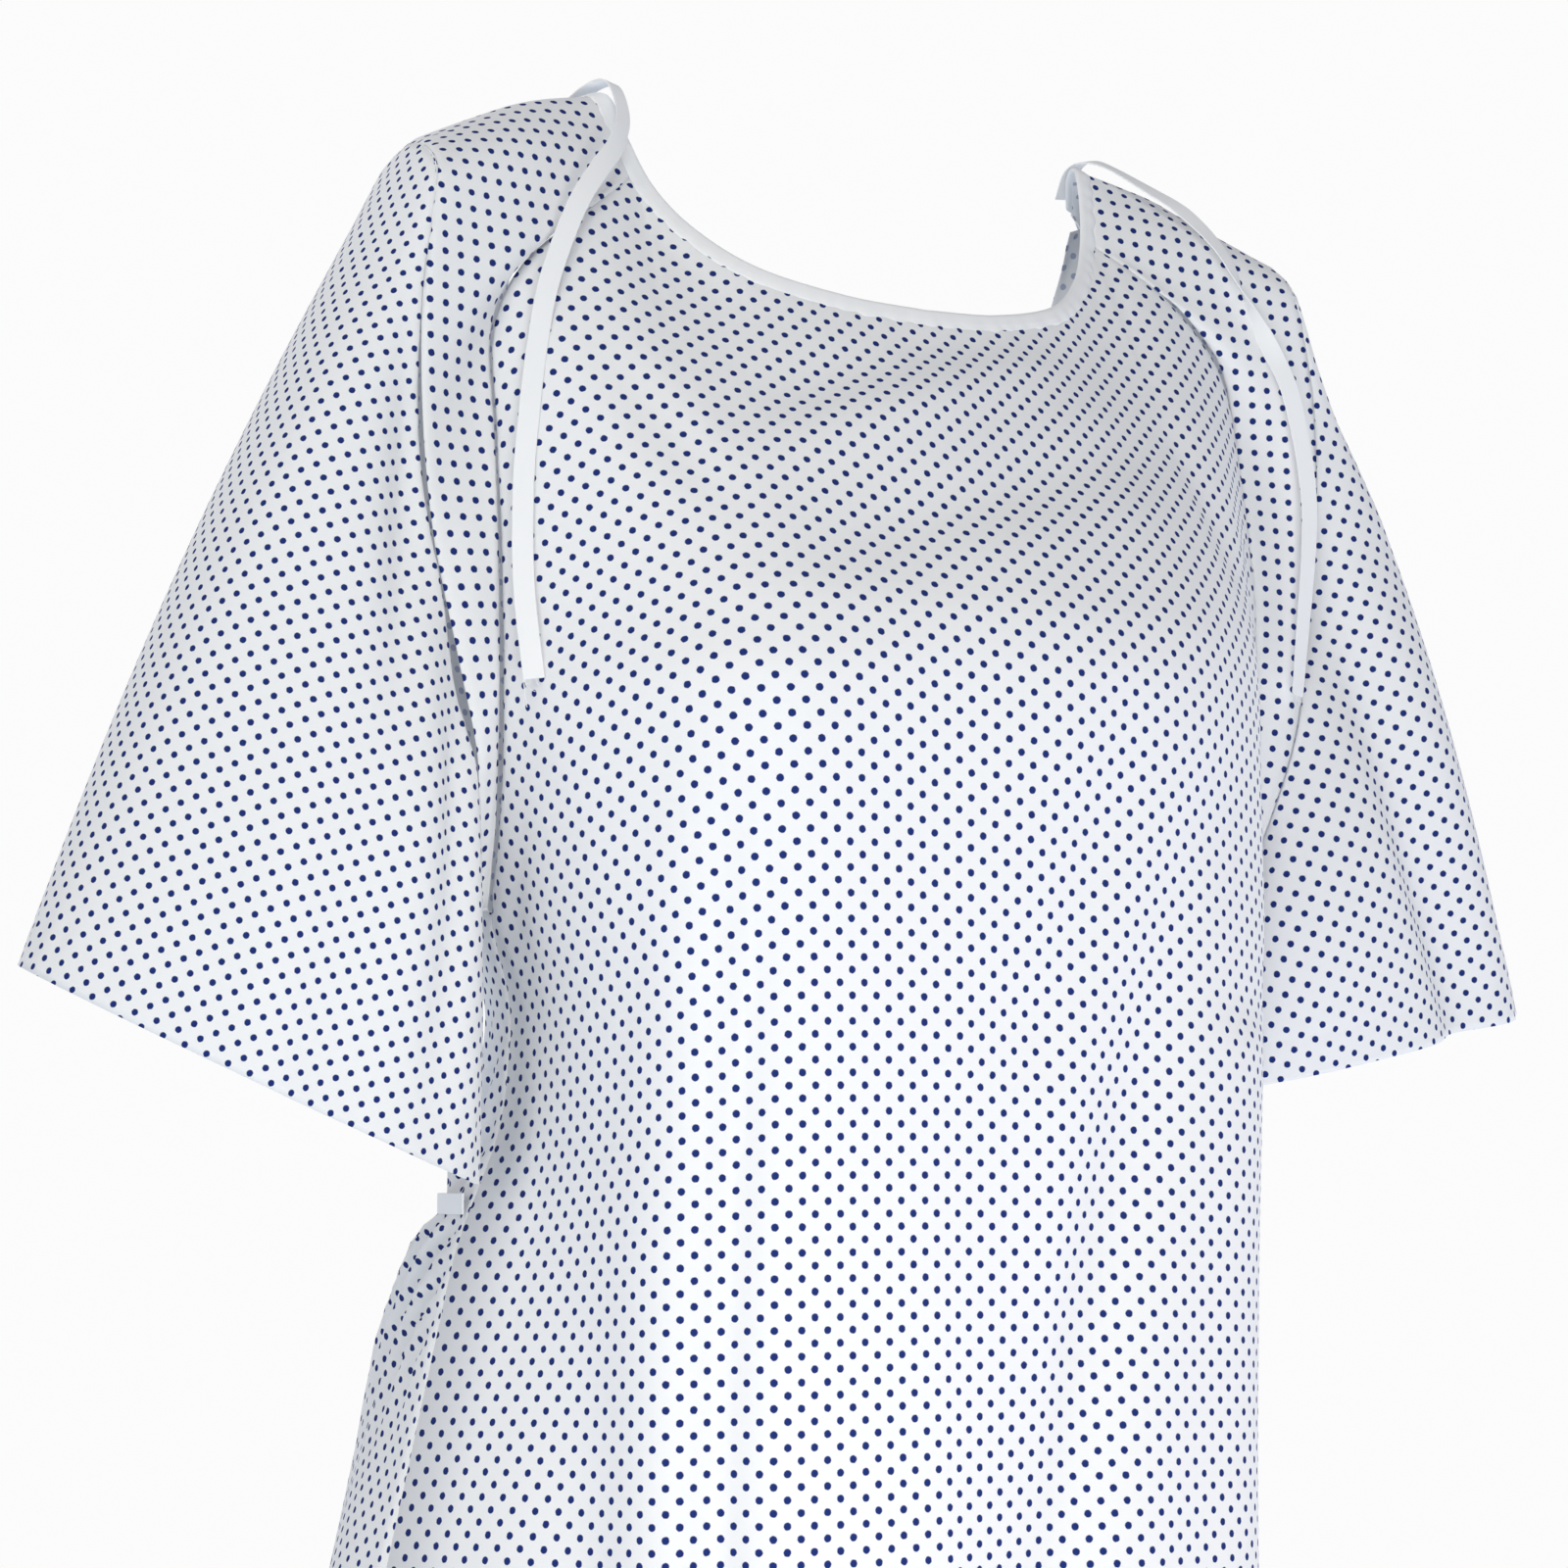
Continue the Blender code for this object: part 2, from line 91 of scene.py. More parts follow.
# The hanging cloth's level sections by height: how far they reach, how square and how deep they are
RIGHT_WIDTHS = ((-1.15, 0.345), (-0.533, 0.205), (-0.48, 0.183), (-0.43, 0.178),
                (-0.385, 0.19), (-0.265, 0.184), (-0.045, 0.19))
LEFT_WIDTHS = ((-1.15, 0.18), (-0.533, 0.1825), (-0.45, 0.187), (-0.385, 0.19),
               (-0.265, 0.184), (-0.045, 0.19))
RIGHT_CORE = 0.176
RIGHT_SQUARENESS = ((-1.15, 4.4), (-0.67, 5.2), (-0.4, 5.2), (-0.3, 4.4), (-0.24, 3.2),
                    (-0.045, 3.0))
LEFT_SQUARENESS = ((-1.15, 2.0), (-0.67, 2.3), (-0.4, 2.5), (-0.265, 2.6), (-0.045, 3.0))
BACK_SQUARENESS = 2.4
FRONT_DEPTHS = ((-1.15, 0.185), (-0.67, 0.167), (-0.4, 0.162), (-0.3, 0.163),
                (-0.262, 0.158), (-0.235, 0.146), (-0.2, 0.127), (-0.15, 0.098),
                (-0.1, 0.07), (-0.045, 0.045))
BACK_DEPTHS = ((-1.15, 0.228), (-0.8, 0.222), (-0.677, 0.219), (-0.627, 0.214),
               (-0.585, 0.203), (-0.56, 0.18), (-0.536, 0.15), (-0.515, 0.126),
               (-0.45, 0.117), (-0.34, 0.112), (-0.19, 0.105), (-0.045, 0.075))

# Seams and edges of the wearer's left half
NECK_EDGE = ((0.0, -0.067, -0.101), (0.04, -0.063, -0.098), (0.08, -0.051, -0.087),
             (0.104, -0.034, -0.068), (0.118, -0.019, -0.046), (0.126, -0.007, -0.02),
             (0.13, 0.004, 0.001), (0.136, 0.02, 0.001), (0.145, 0.034, -0.01))
NECK_BOTTOM = NECK_EDGE[0]
NECK_TOP = NECK_EDGE[6]
YOKE_ON_NECK = 0.66
# How the cloth slopes away from the neck edge: out, forwards, down at the shoulder and more in front
SLOPE_OUT = 0.94
SLOPE_FORWARD = 0.35
SLOPE_DOWN = 0.22
SLOPE_DOWN_FRONT = 0.72
FRONT_YOKE_SEAM = ((0.158, -0.03, -0.065), (0.19, -0.03, -0.094), (0.203, -0.028, -0.125),
                   (0.2045, -0.035, -0.169), (0.205, -0.042, -0.22), (0.203, -0.041, -0.29),
                   (0.197, -0.025, -0.345), (0.19, -0.0005, -0.3845))
BACK_YOKE_SEAM = ((0.186, 0.046, -0.052), (0.201, 0.055, -0.11), (0.206, 0.06, -0.19),
                  (0.204, 0.055, -0.27), (0.198, 0.033, -0.345), (0.19, 0.0005, -0.3845))
FRONT_ARMHOLE = ((0.234, 0.0, -0.0365), (0.2345, -0.02, -0.042), (0.235, -0.037, -0.056),
                 (0.2386, -0.042, -0.083), (0.243, -0.043, -0.12), (0.2425, -0.044, -0.17),
                 (0.237, -0.045, -0.226), (0.225, -0.048, -0.283), (0.213, -0.042, -0.325),
                 (0.207, -0.022, -0.362), (0.2015, -0.0005, -0.385))
BACK_ARMHOLE = ((0.234, 0.0, -0.0365), (0.235, 0.02, -0.041), (0.237, 0.04, -0.058),
                (0.242, 0.05, -0.11), (0.242, 0.054, -0.17), (0.236, 0.054, -0.23),
                (0.224, 0.05, -0.29), (0.21, 0.036, -0.345), (0.2015, 0.0005, -0.385))
BACK_EDGE = ((0.148, 0.038, -0.02), (0.153, 0.055, -0.045), (0.15, 0.075, -0.09),
             (0.13, 0.092, -0.16), (0.095, 0.104, -0.25), (0.055, 0.11, -0.34),
             (0.024, 0.115, -0.43), (0.007, 0.126, -0.515), (0.007, 0.139, -0.527))
WIDTH_EASE = 0.012
WIDTH_SAMPLES = 5
SKIRT_EDGE_TOP = 0.007
SKIRT_EDGE_HEM = 0.045
EDGE_SETTLE = 0.2
ROW_CROWDING = 1.3

# Sleeves
SLEEVE_HEM_OUTER = (0.401, 0.012, -0.415)
SLEEVE_HEM_INNER = (0.2, -0.012, -0.505)
SLEEVE_HEM_DEPTH = 0.052
# By side, with -1 the wearer's right: how far the hem hangs lower in front, and how far its inner end lifts
SLEEVE_HEM_DROPS = {-1: 0.012, 1: 0.0}
SLEEVE_HEM_RISES = {-1: 0.0, 1: 0.045}
SLEEVE_FULLNESS = 0.014
SLEEVE_CROWN = 0.009
YOKE_CROWN = 0.006
YOKE_CROWN_REACH = 0.06

# Neck ties: the routes the frame's own ties follow, with the way each ribbon faces along them
RIGHT_NECK_TIE = ((-0.144, 0.0345, -0.005), (-0.1345, 0.018, 0.007), (-0.129, 0.003, 0.007),
                  (-0.129, -0.009, -0.011), (-0.138, -0.021, -0.029),
                  (-0.151, -0.03, -0.0445), (-0.166, -0.037, -0.066),
                  (-0.182, -0.043, -0.103), (-0.19, -0.0475, -0.135),
                  (-0.1955, -0.0515, -0.166), (-0.1995, -0.0545, -0.201),
                  (-0.2015, -0.06, -0.245), (-0.2, -0.068, -0.288))
LEFT_NECK_TIE = ((0.144, 0.0345, -0.005), (0.14, 0.018, 0.0065), (0.145, 0.003, 0.006),
                 (0.166, -0.01, -0.008), (0.182, -0.02, -0.021), (0.196, -0.032, -0.043),
                 (0.208, -0.038, -0.072), (0.216, -0.043, -0.091), (0.224, -0.047, -0.111),
                 (0.23, -0.049, -0.14), (0.233, -0.05, -0.169), (0.231, -0.051, -0.197),
                 (0.226, -0.052, -0.235), (0.221, -0.054, -0.266))
TAIL_LENGTH = 0.14
TAIL_TOP = (0.006, 0.144, -0.5265)
TAIL_SPREAD = 0.022
TAIL_LIFT = 0.006

# Folds of the front, each by its x, z and height from the top down, with its width
FRONT_FOLDS = (
    (((-0.205, -0.33, 0.0), (-0.2, -0.4, -0.006), (-0.196, -0.52, -0.01),
      (-0.2, -0.7, -0.011), (-0.24, -1.15, -0.011)), 0.015),
    (((-0.128, -0.29, 0.0), (-0.135, -0.36, -0.007), (-0.142, -0.45, -0.01),
      (-0.149, -0.55, -0.011), (-0.155, -0.7, -0.012), (-0.17, -1.15, -0.013)), 0.013),
    (((0.05, -0.275, 0.0), (0.041, -0.331, -0.003), (0.012, -0.412, -0.004),
      (-0.012, -0.459, -0.006), (-0.022, -0.532, -0.007), (-0.03, -1.15, -0.007)), 0.02),
    (((0.105, -0.3, 0.0), (0.07, -0.41, -0.007), (0.05, -0.49, -0.012),
      (0.02, -0.61, -0.014), (0.000, -0.75, -0.013), (-0.02, -1.15, -0.01)), 0.025),
    (((0.13, -0.42, 0.0), (0.12, -0.52, 0.006), (0.11, -1.15, 0.009)), 0.026),
)
# Folds of each sleeve's front, by side, in the left sleeve's coordinates
SLEEVE_FOLDS = {
    -1: (
        (((0.243, -0.06, 0.0), (0.262, -0.11, -0.0035), (0.285, -0.17, 0.0)), 0.007),
        (((0.246, -0.12, 0.0), (0.252, -0.22, -0.006), (0.262, -0.33, 0.0)), 0.011),
        (((0.23, -0.24, 0.0), (0.228, -0.33, -0.008), (0.235, -0.44, -0.004),
          (0.236, -0.52, 0.0)), 0.011),
        (((0.29, -0.25, 0.0), (0.305, -0.35, 0.004), (0.315, -0.45, 0.005)), 0.018),
    ),
    1: (
        (((0.243, -0.06, 0.0), (0.262, -0.11, -0.0035), (0.285, -0.17, 0.0)), 0.007),
        (((0.232, -0.15, 0.0), (0.245, -0.22, -0.009), (0.285, -0.32, -0.013),
          (0.325, -0.41, -0.012), (0.345, -0.47, -0.008)), 0.02),
        (((0.275, -0.19, 0.0), (0.305, -0.28, 0.006), (0.345, -0.38, 0.008),
          (0.37, -0.45, 0.006)), 0.018),
    ),
}
# How much finer each sleeve's print is drawn than the other panels', by side, for its look alone
SLEEVE_PRINT_SCALE = {-1: 1.13, 1: 1.0}
# Slanting folds across the chest: two ends in x and z, height and width
CHEST_FOLDS = (((-0.135, -0.198), (0.085, -0.108), 0.005, 0.016),
               ((-0.12, -0.238), (0.125, -0.155), -0.005, 0.017),
               ((-0.11, -0.16), (-0.02, -0.128), -0.0028, 0.013),
               ((-0.165, -0.13), (-0.125, -0.225), -0.003, 0.011),
               ((0.13, -0.13), (0.165, -0.24), -0.0035, 0.012))
CHEST_FOLD_END = 0.04
FOLD_START = 0.03
SLACK = 0.0016
YOKE_SLACK = 0.0011
SLACK_WAVES = 7
SLACK_LENGTHS = (0.06, 0.2)
SLACK_WAYS = (1.0, 1.0, 0.45)
# Seeds of the random swells, puckers and threads
FRONT_SEED = 11
YOKE_SEED = 21
SLEEVE_SEED = 31
BACK_SEED = 41
BINDING_SEED = 51
TIE_SEED = 61
GATHER = 0.006
GATHER_PITCH = 0.021
GATHER_DRIFT = 1.2
GATHER_DRIFT_LENGTH = 0.023
GATHER_FLAT = 0.01
GATHER_UP = 0.055
GATHER_DOWN = 0.07
FLUTE = 0.007
FLUTES = 5
FLUTE_SETTLE = 0.25
BACK_BOTTOM_Z = -0.527
BACK_SEAM_SHARE = 0.571
HEM_STITCH = 0.0016
HEM_DENT = 0.0004

# Points inside the garment, from which every panel faces away
INSIDE_BODY = (0.0, 0.0, -0.6)
INSIDE_YOKE = (0.2, 0.0, -0.25)
INSIDE_SLEEVE = (0.3, 0.0, -0.33)

# Every yoke is cut on the bias
YOKE_TURN = 45.0

# How each panel lies in the cloth: the grid points its grain runs between, and how far its grain is turned
GRAIN_ROW = 60
GRAIN_COLUMN = 50
FRONT_TURN = 0.0
YOKE_GRAIN = ((40, 20), (10, 20))

# Tapes
TAPE_SIDES = 12
TAPE_SQUARENESS = 0.35
TAPE_EDGE_ANGLE = 50.0
BINDING_THICK = 0.0024
BINDING_FLATNESS = 6
BINDING_SIDES = 12
BINDING_STITCH = 0.8
BINDING_STITCH_WIDTH = 0.07
BINDING_GROOVE = 0.0003
BINDING_PITCH = 0.0105
BINDING_PUCKER = 0.00035
BINDING_WOBBLE = 0.0003
BINDING_DRIFT = 1.5
BINDING_DRIFT_PITCH = 0.047
THREADS = 6
THREAD_RADIUS = 0.00016
THREAD_LENGTHS = (0.003, 0.008)
THREAD_POINTS = 7
RIGHT_FACINGS = ((0.0, (0.0, 0.2, 1.0)), (0.1, (0.2, -0.3, 1.0)), (0.2, (0.5, -0.8, 0.3)),
                 (0.32, (-0.2, -1.0, 0.3)), (0.5, (-0.4, -0.9, 0.1)), (1.0, (-0.45, -0.9, 0.0)))
LEFT_FACINGS = ((0.0, (0.0, 0.2, 1.0)), (0.1, (-0.3, -0.2, 1.0)), (0.25, (-0.3, -0.7, 0.8)),
                (0.36, (0.4, -0.9, 0.3)), (0.44, (0.95, 0.1, 0.0)), (0.52, (0.3, 0.95, 0.0)),
                (0.8, (-0.1, 1.0, 0.0)), (1.0, (-0.35, 0.93, 0.0)))
THREAD_BEND = 0.5
WAIST_TIE_LIFT = 0.0024
WAIST_TIE_START = 89.5
KNOT_TAPE = 0.0026
KNOT_TAPE_WIDTH = 2 * KNOT_TAPE
KNOT_TAPE_THICK = 1.3 * KNOT_TAPE
KNOT_FACING_OUT = 1.5

# Colours and surfaces
COTTON_WHITE = (0.84, 0.845, 0.86)
TAPE_WHITE = (0.88, 0.885, 0.9)
NAVY_INK = (0.012, 0.028, 0.165)
FADED_INK = (0.42, 0.46, 0.6)
CLOTH_ROUGHNESS = 0.92
CLOTH_SHINE = 0.15
INK_NOISE_SCALE = 900.0
INK_NOISE = 0.0005
WEAVE_SCALE = 1400.0
WEAVE_TONE = 0.05

# Light: the studio's colour in front, to the sides and behind, then below and overhead
WORLD_STOPS = ((-1.0, (0.04, 0.04, 0.05)), (-0.52, (0.04, 0.04, 0.05)), (-0.42, (0.6, 0.6, 0.64)),
               (0.42, (0.6, 0.6, 0.64)), (0.52, (0.965, 0.965, 0.965)), (1.0, (0.965, 0.965, 0.965)))
BACKDROP_WHITE = (0.97, 0.97, 0.97)
WORLD_BELOW = (0.76, 0.88, 1.02)
WORLD_ABOVE = (0.35, 0.355, 0.39)
BELOW_EDGE = (-0.3, -0.4)
ABOVE_EDGE = (0.55, 0.65)
# Soft boxes by azimuth, elevation, distance, size, power, colour and the height they are aimed at
LIGHTS = (("side_box", 90.0, 8.0, 2.6, (2.2, 2.0), 15.0, (1.0, 1.0, 1.0), -0.5),
          ("low_box", 60.0, -40.0, 2.6, (1.2, 1.2), 16.0, (1.0, 0.93, 1.0), -0.5),
          ("high_box", -30.0, 50.0, 2.6, (1.2, 1.2), 14.0, (0.98, 1.0, 0.99), -0.5),
          ("near_box", -60.0, 20.0, 2.6, (1.2, 1.2), 10.0, (1.0, 0.97, 0.84), -0.5),
          ("front_box", -15.0, -10.0, 1.1, (0.5, 0.5), 5.6, (1.0, 0.97, 0.9), -0.55))

# The floor a wearer would stand on, a pale disc that sends no light back at the cloth
FLOOR_Z = -1.5
FLOOR_RADIUS = 2.6
FLOOR_SIDES = 96
FLOOR_WHITE = (0.8, 0.81, 0.83)

# Mesh density
CURVE_DENSITY = 400
NECK_STEPS = 35
YOKE_NECK_STEPS = 20
SEAM_STEPS = 45
ARM_STEPS = 55
BODY_ROWS = 150
HEM_LINE = 0.024
HEM_LEVELS = (0.0215, 0.0205, 0.0195, 0.0185, 0.016, 0.008, 0.002, 0.0)
HEM_THICK_ROWS = 6
YOKE_COLUMNS = 24
SLEEVE_ROWS = 80
SLEEVE_HEM_THICK_ROWS = 5
BACK_COLUMNS = 56
FLATTEN_ROUNDS = 10
BINDING_STEPS = 121
TIE_POINTS = 150
WAIST_POINTS = 60
KNOT_POINTS = 96
TAIL_KNOTS = 12
TAIL_POINTS = 60

# Camera: level with the lower chest, looking slightly up, to the wearer's right of the front
CAMERA_AZIMUTH = -30.0
CAMERA_DISTANCE = 1.75
CAMERA_Z = -0.510
CAMERA_TILT = 6.3
CAMERA_PAN = 1.1
CAMERA_LENS = 85.0
CAMERA_SENSOR = 36.0


def smooth_path(points, count):
    """Evenly spaced points on a Catmull-Rom curve through the given points."""
    knots = np.array(points, float)
    padded = np.vstack([2 * knots[0] - knots[1], knots, 2 * knots[-1] - knots[-2]])
    along = np.linspace(0, len(knots) - 1, CURVE_DENSITY)
    span = np.minimum(along.astype(int), len(knots) - 2)
    t = (along - span)[:, None]
    a, b, c, d = (padded[span + step] for step in range(4))
    dense = 0.5 * (2 * b + (c - a) * t + (2 * a - 5 * b + 4 * c - d) * t**2
                   + (3 * b - a - 3 * c + d) * t**3)
    length = path_lengths(dense)
    wanted = np.linspace(0, length[-1], count)
    return np.stack([np.interp(wanted, length, column) for column in dense.T], 1)


def path_lengths(points):
    """The distance along a path at each of its points."""
    steps = np.linalg.norm(np.diff(points, axis=0), axis=1)
    return np.concatenate([[0], np.cumsum(steps)])


def value_at(table, z):
    """A value that changes with height, from a smooth curve through the table."""
    curve = smooth_path(table, CURVE_DENSITY)
    return np.interp(z, curve[:, 0], curve[:, 1])


def reach(z):
    """How far the level section reaches to the wearer's right and left, its table's corners eased."""
    shifts = np.linspace(-WIDTH_EASE, WIDTH_EASE, WIDTH_SAMPLES)
    return [np.mean([np.interp(z + shift, *np.transpose(table)) for shift in shifts], axis=0)
            for table in (RIGHT_WIDTHS, LEFT_WIDTHS)]


def centre_x(z):
    """The middle of the level section, off the centre line where one side reaches further."""
    right, left = reach(z)
    return (left - right) / 2


def half_width(z):
    """Half the level section's width."""
    return sum(reach(z)) / 2


def front_section(z, angle):
    """A point of the front's level section. Angle 0 is the middle and 90 degrees is the side seam.

    The flare on the wearer's right is all in the cloth behind the front's corner.
    """
    right, left = reach(z)
    core = np.where(angle < 0, np.minimum(right, RIGHT_CORE), left)
    power = 2 / np.where(angle < 0, value_at(RIGHT_SQUARENESS, z), value_at(LEFT_SQUARENESS, z))
    behind = np.abs(np.cos(angle)) ** power
    flare = np.where(angle < 0, right - core, 0) * (1 - behind)
    across = core * np.sign(angle) * np.abs(np.sin(angle)) ** power - flare
    return np.stack([across, -value_at(FRONT_DEPTHS, z) * behind, z], -1)


def back_section(z, angle, side):
    """The same behind the wearer, on one side: 1 is the wearer's left, -1 the right."""
    power = 2 / BACK_SQUARENESS
    across = half_width(z) * np.sin(angle) ** power
    away = value_at(BACK_DEPTHS, z) * np.cos(angle) ** power
    return np.stack([centre_x(z) + side * across, away, z], -1)


def back_angle(z, across):
    """The back section's angle at a distance from the centre line."""
    share = np.clip(across / half_width(z), 0, 1)
    return np.arcsin(share ** (BACK_SQUARENESS / 2))


def mirrored(points):
    """The same points on the wearer's other side."""
    return points * np.array([-1, 1, 1])


def on_side(points, side):
    """A left-half curve on either side, following the sections' own middle."""
    placed = points.copy()
    placed[:, 0] = side * points[:, 0] + centre_x(points[:, 2])
    return placed


def off_neck(points, distance):
    """Neck edge points of the left half, moved down the cloth by a distance."""
    away = np.stack([SLOPE_OUT * points[:, 0] / NECK_TOP[0],
                     -SLOPE_FORWARD * points[:, 1] / NECK_BOTTOM[1],
                     -SLOPE_DOWN - SLOPE_DOWN_FRONT * np.maximum(0, points[:, 2] / NECK_BOTTOM[2])], 1)
    return points + distance * away / np.linalg.norm(away, axis=1)[:, None]


def panel_neckline(start, end, count):
    """The panels' neck edge, under the binding, between two shares of its length."""
    neck = smooth_path(NECK_EDGE, CURVE_DENSITY)
    shares = np.linspace(start, end, count)
    places = np.linspace(0, 1, CURVE_DENSITY)
    points = np.stack([np.interp(shares, places, column) for column in neck.T], 1)
    return off_neck(points, TAPE_WIDTH * 0.5)


def front_yoke_seam(count):
    """The seam between the front and the left yoke, from the neck edge to the armpit."""
    top = panel_neckline(YOKE_ON_NECK, YOKE_ON_NECK, 1)
    return smooth_path(np.vstack([top, FRONT_YOKE_SEAM]), count)


def back_yoke_seam(count):
    """The seam between the left back and its yoke, from the neck edge to the armpit."""
    top = panel_neckline(1, 1, 1)
    return smooth_path(np.vstack([top, BACK_YOKE_SEAM]), count)


def unit(vectors):
    """The same directions at length one."""
    return vectors / np.maximum(np.linalg.norm(vectors, axis=-1, keepdims=True), 1e-12)


def normals(grid, inside):
    """A grid's normals, turned away from a point inside the garment."""
    normal = unit(np.cross(np.gradient(grid, axis=0), np.gradient(grid, axis=1)))
    away = np.sum(normal * (grid - np.array(inside)), axis=-1).sum()
    return normal if away > 0 else -normal


def lengths(grid, axis):
    """Distances along a grid's lines from their first point."""
    steps = np.linalg.norm(np.diff(grid, axis=axis), axis=-1)
    start = np.zeros_like(np.take(steps, [0], axis=axis))
    return np.concatenate([start, np.cumsum(steps, axis=axis)], axis=axis)


def from_edge(grid, edge):
    """How far each point is from an edge, and how far along that edge it is."""
    across = edge in ("first_column", "last_column")
    distance = lengths(grid, 1 if across else 0)
    if edge.startswith("last"):
        distance = (distance[:, -1:] if across else distance[-1:]) - distance
    along = lengths(grid, 0 if across else 1)
    pick = {"first_row": along[:1], "last_row": along[-1:],
            "first_column": along[:, :1], "last_column": along[:, -1:]}[edge]
    return distance, np.broadcast_to(pick, distance.shape)


def seam_relief(grid, edges, seed):
    """How far the cloth stands out beside its seams: down in each seam, and puckered near it."""
    rng = np.random.default_rng(seed)
    depth = np.zeros(grid.shape[:2])
    for edge in edges:
        distance, along = from_edge(grid, edge)
        phase, swing = rng.uniform(0, 2 * math.pi, 2)
        wave = np.sin(2 * math.pi * along / PUCKER_PITCH + phase
                      + SEAM_DRIFT * np.sin(2 * math.pi * along / SEAM_DRIFT_PITCH + swing))
        strength = np.exp(-distance / PUCKER_REACH) * (1 - np.exp(-((distance / SEAM_REACH) ** 2)))
        depth += PUCKER * wave * strength - SEAM_RISE * np.exp(-((distance / SEAM_REACH) ** 2))
    return depth


def slack(grid, seed, size=SLACK):
    """Slow swells of loose cloth."""
    rng = np.random.default_rng(seed)
    swell = np.zeros(grid.shape[:2])
    for _ in range(SLACK_WAVES):
        wave = rng.uniform(*SLACK_LENGTHS)
        way = unit(rng.normal(size=3) * np.array(SLACK_WAYS))
        swell += np.sin(2 * math.pi / wave * grid @ way + rng.uniform(0, 2 * math.pi))
    return size * swell / math.sqrt(SLACK_WAVES)


def settle(distance, span):
    """Rises smoothly from 0 at an edge to 1 at a distance from it."""
    share = np.clip(distance / span, 0, 1)
    return share * share * (3 - 2 * share)


def fold(grid, route, width):
    """How deep a long fold is at each point: route lists its x, z and height, from the top down."""
    x, z, height = np.transpose(route)[:, ::-1]
    line = smooth_path(np.stack([x, z, height], 1), CURVE_DENSITY)
    place = np.interp(grid[..., 2], line[:, 1], line[:, 0])
    rise = np.interp(grid[..., 2], line[:, 1], line[:, 2])
    return rise * np.exp(-(((grid[..., 0] - place) / width) ** 2))


def slant(grid, start, end, height, width):
    """A straight fold across the front between two points, each given by x and z."""
    along = np.array(end) - np.array(start)
    place = np.stack([grid[..., 0] - start[0], grid[..., 2] - start[1]], -1)
    share = np.clip(place @ along / (along @ along), 0, 1)
    away = np.linalg.norm(place - share[..., None] * along, axis=-1)
    fade = np.sin(math.pi * np.clip(share, CHEST_FOLD_END, 1 - CHEST_FOLD_END))
    return height * np.exp(-((away / width) ** 2)) * fade


def front_grid():
    """From the neckline and the two yoke seams down to the hem, side seam to side seam."""
    neck = panel_neckline(0, YOKE_ON_NECK, NECK_STEPS + 1)
    left_top = np.vstack([neck, front_yoke_seam(SEAM_STEPS + 1)[1:]])
    top = np.vstack([mirrored(left_top[:0:-1]), left_top])
    angle = np.linspace(-math.pi / 2, math.pi / 2, len(top))
    correction = top - front_section(top[:, 2], angle)
    fall = np.linspace(0, 1, BODY_ROWS) ** ROW_CROWDING
    levels = [top[:, 2] + (HEM_Z + HEM_LINE - top[:, 2]) * share for share in fall]
    levels += [np.full(len(top), HEM_Z + height) for height in HEM_LEVELS]
    rows = []
    for z in levels:
        settled = np.clip((top[:, 2] - z) / EDGE_SETTLE, 0, 1)[:, None]
        rows.append(front_section(z, angle) + correction * (1 - settled) ** 2)
    return np.array(rows)


def shaped_front():
    """The front with its folds, its slack, and the relief of its seams and hem."""
    grid = front_grid()
    height = sum(fold(grid, route, width) for route, width in FRONT_FOLDS)
    height = height + sum(slant(grid, *line) for line in CHEST_FOLDS)
    near_top = settle(lengths(grid, 0), FOLD_START)
    from_sides = np.minimum(from_edge(grid, "first_column")[0], from_edge(grid, "last_column")[0])
    near_sides = settle(from_sides, FOLD_START)
    height = (height + slack(grid, FRONT_SEED)) * near_top * near_sides
    height += seam_relief(grid, ("first_row", "first_column", "last_column"), FRONT_SEED + 1)
    height += hem_relief(grid, FRONT_SEED + 2)
    return grid + normals(grid, INSIDE_BODY) * height[..., None]


def hem_relief(grid, seed):
    """The turned hem's stitching, a shallow line with its own puckers, on a grid's last rows."""
    distance, along = from_edge(grid, "last_row")
    rng = np.random.default_rng(seed)
    stitched = np.exp(-(((distance - HEM_TURN) / HEM_STITCH) ** 2))
    drawn = np.exp(-np.abs(distance - HEM_TURN) / PUCKER_REACH)
    wave = np.sin(2 * math.pi * along / PUCKER_PITCH
                  + HEM_DRIFT * np.sin(along / HEM_DRIFT_LENGTH + rng.uniform(*WAVE_STARTS)))
    return PUCKER * wave * drawn - HEM_DENT * stitched


def yoke_grid(side):
    """The band over the shoulder, between the yoke seam and the armhole, armpit to armpit."""
    inner = np.vstack([front_yoke_seam(SEAM_STEPS + 1)[::-1],
                       panel_neckline(YOKE_ON_NECK, 1, YOKE_NECK_STEPS + 1)[1:],
                       back_yoke_seam(SEAM_STEPS + 1)[1:]])
    outer = armhole()
    shares = np.linspace(0, 1, YOKE_COLUMNS)[None, :, None]
    grid = inner[:, None] * (1 - shares) + outer[:, None] * shares
    near_ridge = np.clip(1 - (outer[:, 2].max() - outer[:, 2]) / YOKE_CROWN_REACH, 0, 1)
    grid[:, :, 2] += YOKE_CROWN * near_ridge[:, None] * np.sin(math.pi * shares[:, :, 0])
    height = slack(grid, YOKE_SEED, YOKE_SLACK) * np.sin(math.pi * shares[:, :, 0]) ** 2
    height += seam_relief(grid, ("first_column", "last_column"), YOKE_SEED + 1)
    inside = np.array(INSIDE_YOKE)
    grid = grid + normals(grid, inside) * height[..., None]
    return grid * np.array([side, 1, 1])


def armhole():
    """The armhole from the underarm round the front, over the shoulder and down the back."""
    return np.vstack([smooth_path(FRONT_ARMHOLE, ARM_STEPS + 1)[::-1],
                      smooth_path(BACK_ARMHOLE, ARM_STEPS + 1)[1:]])


